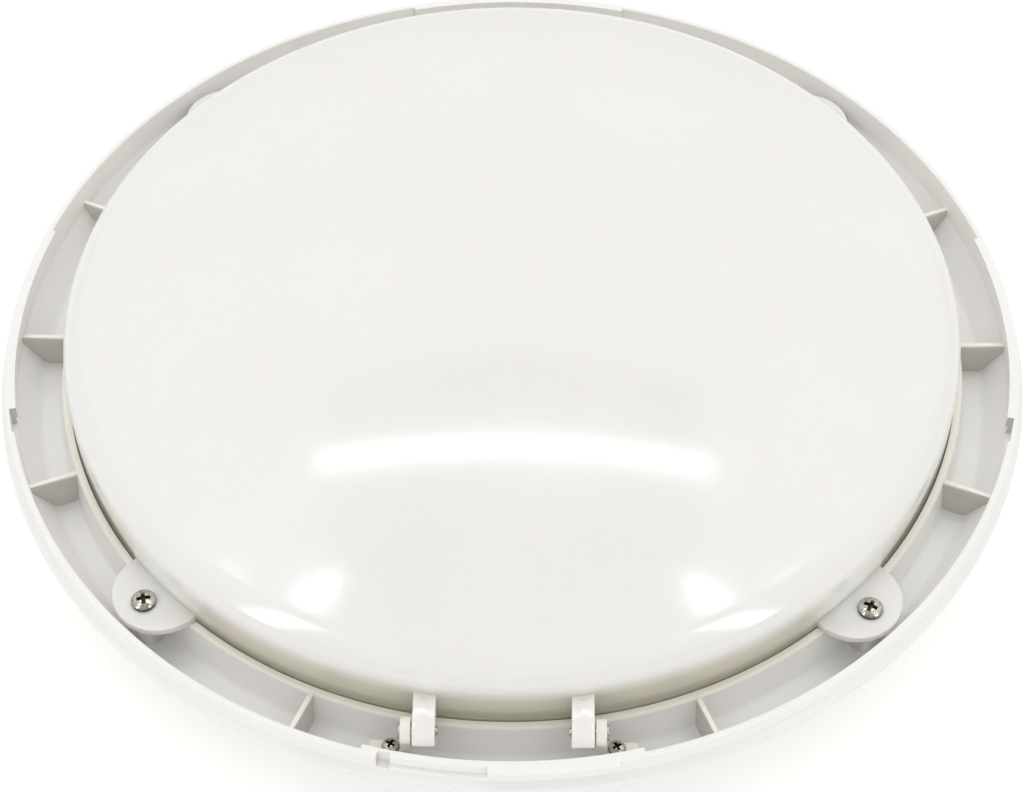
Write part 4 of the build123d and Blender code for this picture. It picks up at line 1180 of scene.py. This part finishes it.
class CEILINGLIGHT_OT_stage(bpy.types.Operator):
    """Set the floor, the lamps and the camera."""

    bl_idname = "ceiling_light.stage"
    bl_label = "Studio"

    def execute(self, context):
        stage = sizes("ceiling_light_stage")
        bpy.ops.object.select_all(action="DESELECT")
        bpy.ops.mesh.primitive_plane_add(size=8)
        floor = bpy.context.active_object
        floor.name = "studio_floor"
        material = blank("matt_white_paper")
        paper = put(
            material,
            "ShaderNodeBsdfPrincipled",
            {"Base Color": tuple(stage.floor_tone), "Roughness": 0.9, "Specular IOR Level": 0.2},
        )
        seen = put(material, "ShaderNodeLightPath").outputs["Is Camera Ray"]
        share = put(material, "ShaderNodeMath", {"operation": "MULTIPLY", 1: 0.35}, {0: seen})
        glow = put(material, "ShaderNodeEmission", {"Color": (1, 1, 1, 1)}, {"Strength": share})
        surface(material, put(material, "ShaderNodeAddShader", links={0: paper, 1: glow}))
        floor.data.materials.append(material)

        world = bpy.data.worlds.new("light_tent")
        bpy.context.scene.world = world
        world.use_nodes = True
        world.node_tree.nodes.clear()
        # The tent is brightest overhead and towards the back, and dimmer where it is open in front
        towards = put(world, "ShaderNodeTexCoord").outputs["Generated"]
        glow = put(
            world,
            "ShaderNodeVectorMath",
            {"operation": "DOT_PRODUCT", 1: (0, TENT_BACK, TENT_TOP)},
            {0: towards},
        ).outputs["Value"]
        level = put(world, "ShaderNodeMath", {"operation": "ADD", 1: TENT_LEVEL}, {0: glow})
        level = put(world, "ShaderNodeMath", {"operation": "MAXIMUM", 1: 0.02}, {0: level})
        tent = put(world, "ShaderNodeBackground", {"Color": TENT_TINT}, {"Strength": level})
        put(world, "ShaderNodeOutputWorld", links={"Surface": tent})

        # What the opal mirrors: the dim opening overhead, the corners of the tent and its sides
        opening = ((-0.58, -1.5), (0.58, -1.5), (0.59, 0.62), (0, 0.7), (-0.59, 0.62))
        corner = ((0.513, -0.09), (0.61, -0.095), (0.702, -0.15), (0.665, -0.205), (0.588, -0.21))
        seam = ((0.86, -0.095), (0.98, -0.005), (0.978, 0.012), (0.858, -0.078))
        panel("tent_opening", opening, 1.52, 0.55)
        for side in (-1, 1):
            panel("tent_corner", [(side * x, y) for x, y in corner], 1.5, 11)
            panel("tent_seam", [(side * x, y) for x, y in seam], 1.5, 18)

        centre = (0, 0, 0.06)
        lamp("tube", (0, 0.3, 1.5), centre, (1.23, 0.075), 2.2)
        for side in (-1, 1):
            shoulder = lamp("shoulder_box", (side * 1.34, -1.04, 1.12), centre, (0.25, 1.3), 6.1)
            shoulder.visible_diffuse = False
        for x, y, power in ((0, -1.9, 8.5), (-1.8, -0.6, 5.5), (1.8, -0.6, 5.5)):
            fill = lamp("low_fill", (x, y, 0.22), centre, (2.2, 0.2), power)
            fill.visible_glossy = False

        # The camera of the photograph, from its place and turns about the light
        bpy.ops.object.camera_add()
        camera = bpy.context.active_object
        camera.name = "photo_camera"
        camera.data.sensor_width = 36
        camera.data.lens = stage.lens
        camera.data.shift_x = 0.0002
        camera.data.shift_y = -0.0663
        camera.data.clip_start = 0.01
        distance = 0.7846
        elevation = math.radians(49.03)
        sideways = math.radians(1.193)
        roll = math.radians(0.39)
        turned = Matrix.Rotation(sideways, 3, "Z")
        back = turned @ Vector((0, -math.cos(elevation), math.sin(elevation)))
        right = turned @ Vector((1, 0, 0))
        up = back.cross(right)
        across = right * math.cos(roll) - up * math.sin(roll)
        upright = right * math.sin(roll) + up * math.cos(roll)
        camera.location = Vector((0, 0, 0.045)) + distance * back
        camera.rotation_euler = Matrix((across, upright, back)).transposed().to_euler()
        bpy.context.scene.camera = camera
        bpy.context.scene.view_settings.view_transform = "Standard"
        return {"FINISHED"}


class CEILINGLIGHT_PT_panel(bpy.types.Panel):
    """Sidebar panel with the sizes, the finishes and the pieces of the light."""

    bl_idname = "CEILINGLIGHT_PT_panel"
    bl_label = "Ceiling light"
    bl_space_type = "VIEW_3D"
    bl_region_type = "UI"
    bl_category = "Ceiling light"

    def draw(self, context):
        for name, group in GROUPS.items():
            box = self.layout.box()
            box.label(text=group.__doc__)
            for key in group.__annotations__:
                box.prop(sizes(name), key)
        for operator in OPERATORS:
            self.layout.operator(operator.bl_idname)


GROUPS = {
    "ceiling_light_base": CeilingLightBase,
    "ceiling_light_diffuser": CeilingLightDiffuser,
    "ceiling_light_finish": CeilingLightFinish,
    "ceiling_light_stage": CeilingLightStage,
}
OPERATORS = (
    CEILINGLIGHT_OT_base,
    CEILINGLIGHT_OT_diffuser,
    CEILINGLIGHT_OT_hinge,
    CEILINGLIGHT_OT_screws,
    CEILINGLIGHT_OT_inside,
    CEILINGLIGHT_OT_stage,
)


def register():
    for item in (*GROUPS.values(), *OPERATORS, CEILINGLIGHT_PT_panel):
        bpy.utils.register_class(item)
    for name, group in GROUPS.items():
        setattr(bpy.types.Scene, name, PointerProperty(type=group))


def unregister():
    for name in GROUPS:
        delattr(bpy.types.Scene, name)
    for item in reversed((*GROUPS.values(), *OPERATORS, CEILINGLIGHT_PT_panel)):
        bpy.utils.unregister_class(item)


def main():
    register()
    bpy.ops.ceiling_light.base()
    bpy.ops.ceiling_light.diffuser()
    bpy.ops.ceiling_light.hinge()
    bpy.ops.ceiling_light.screws()
    bpy.ops.ceiling_light.inside()
    bpy.ops.ceiling_light.stage()


if __name__ == "__main__":
    main()
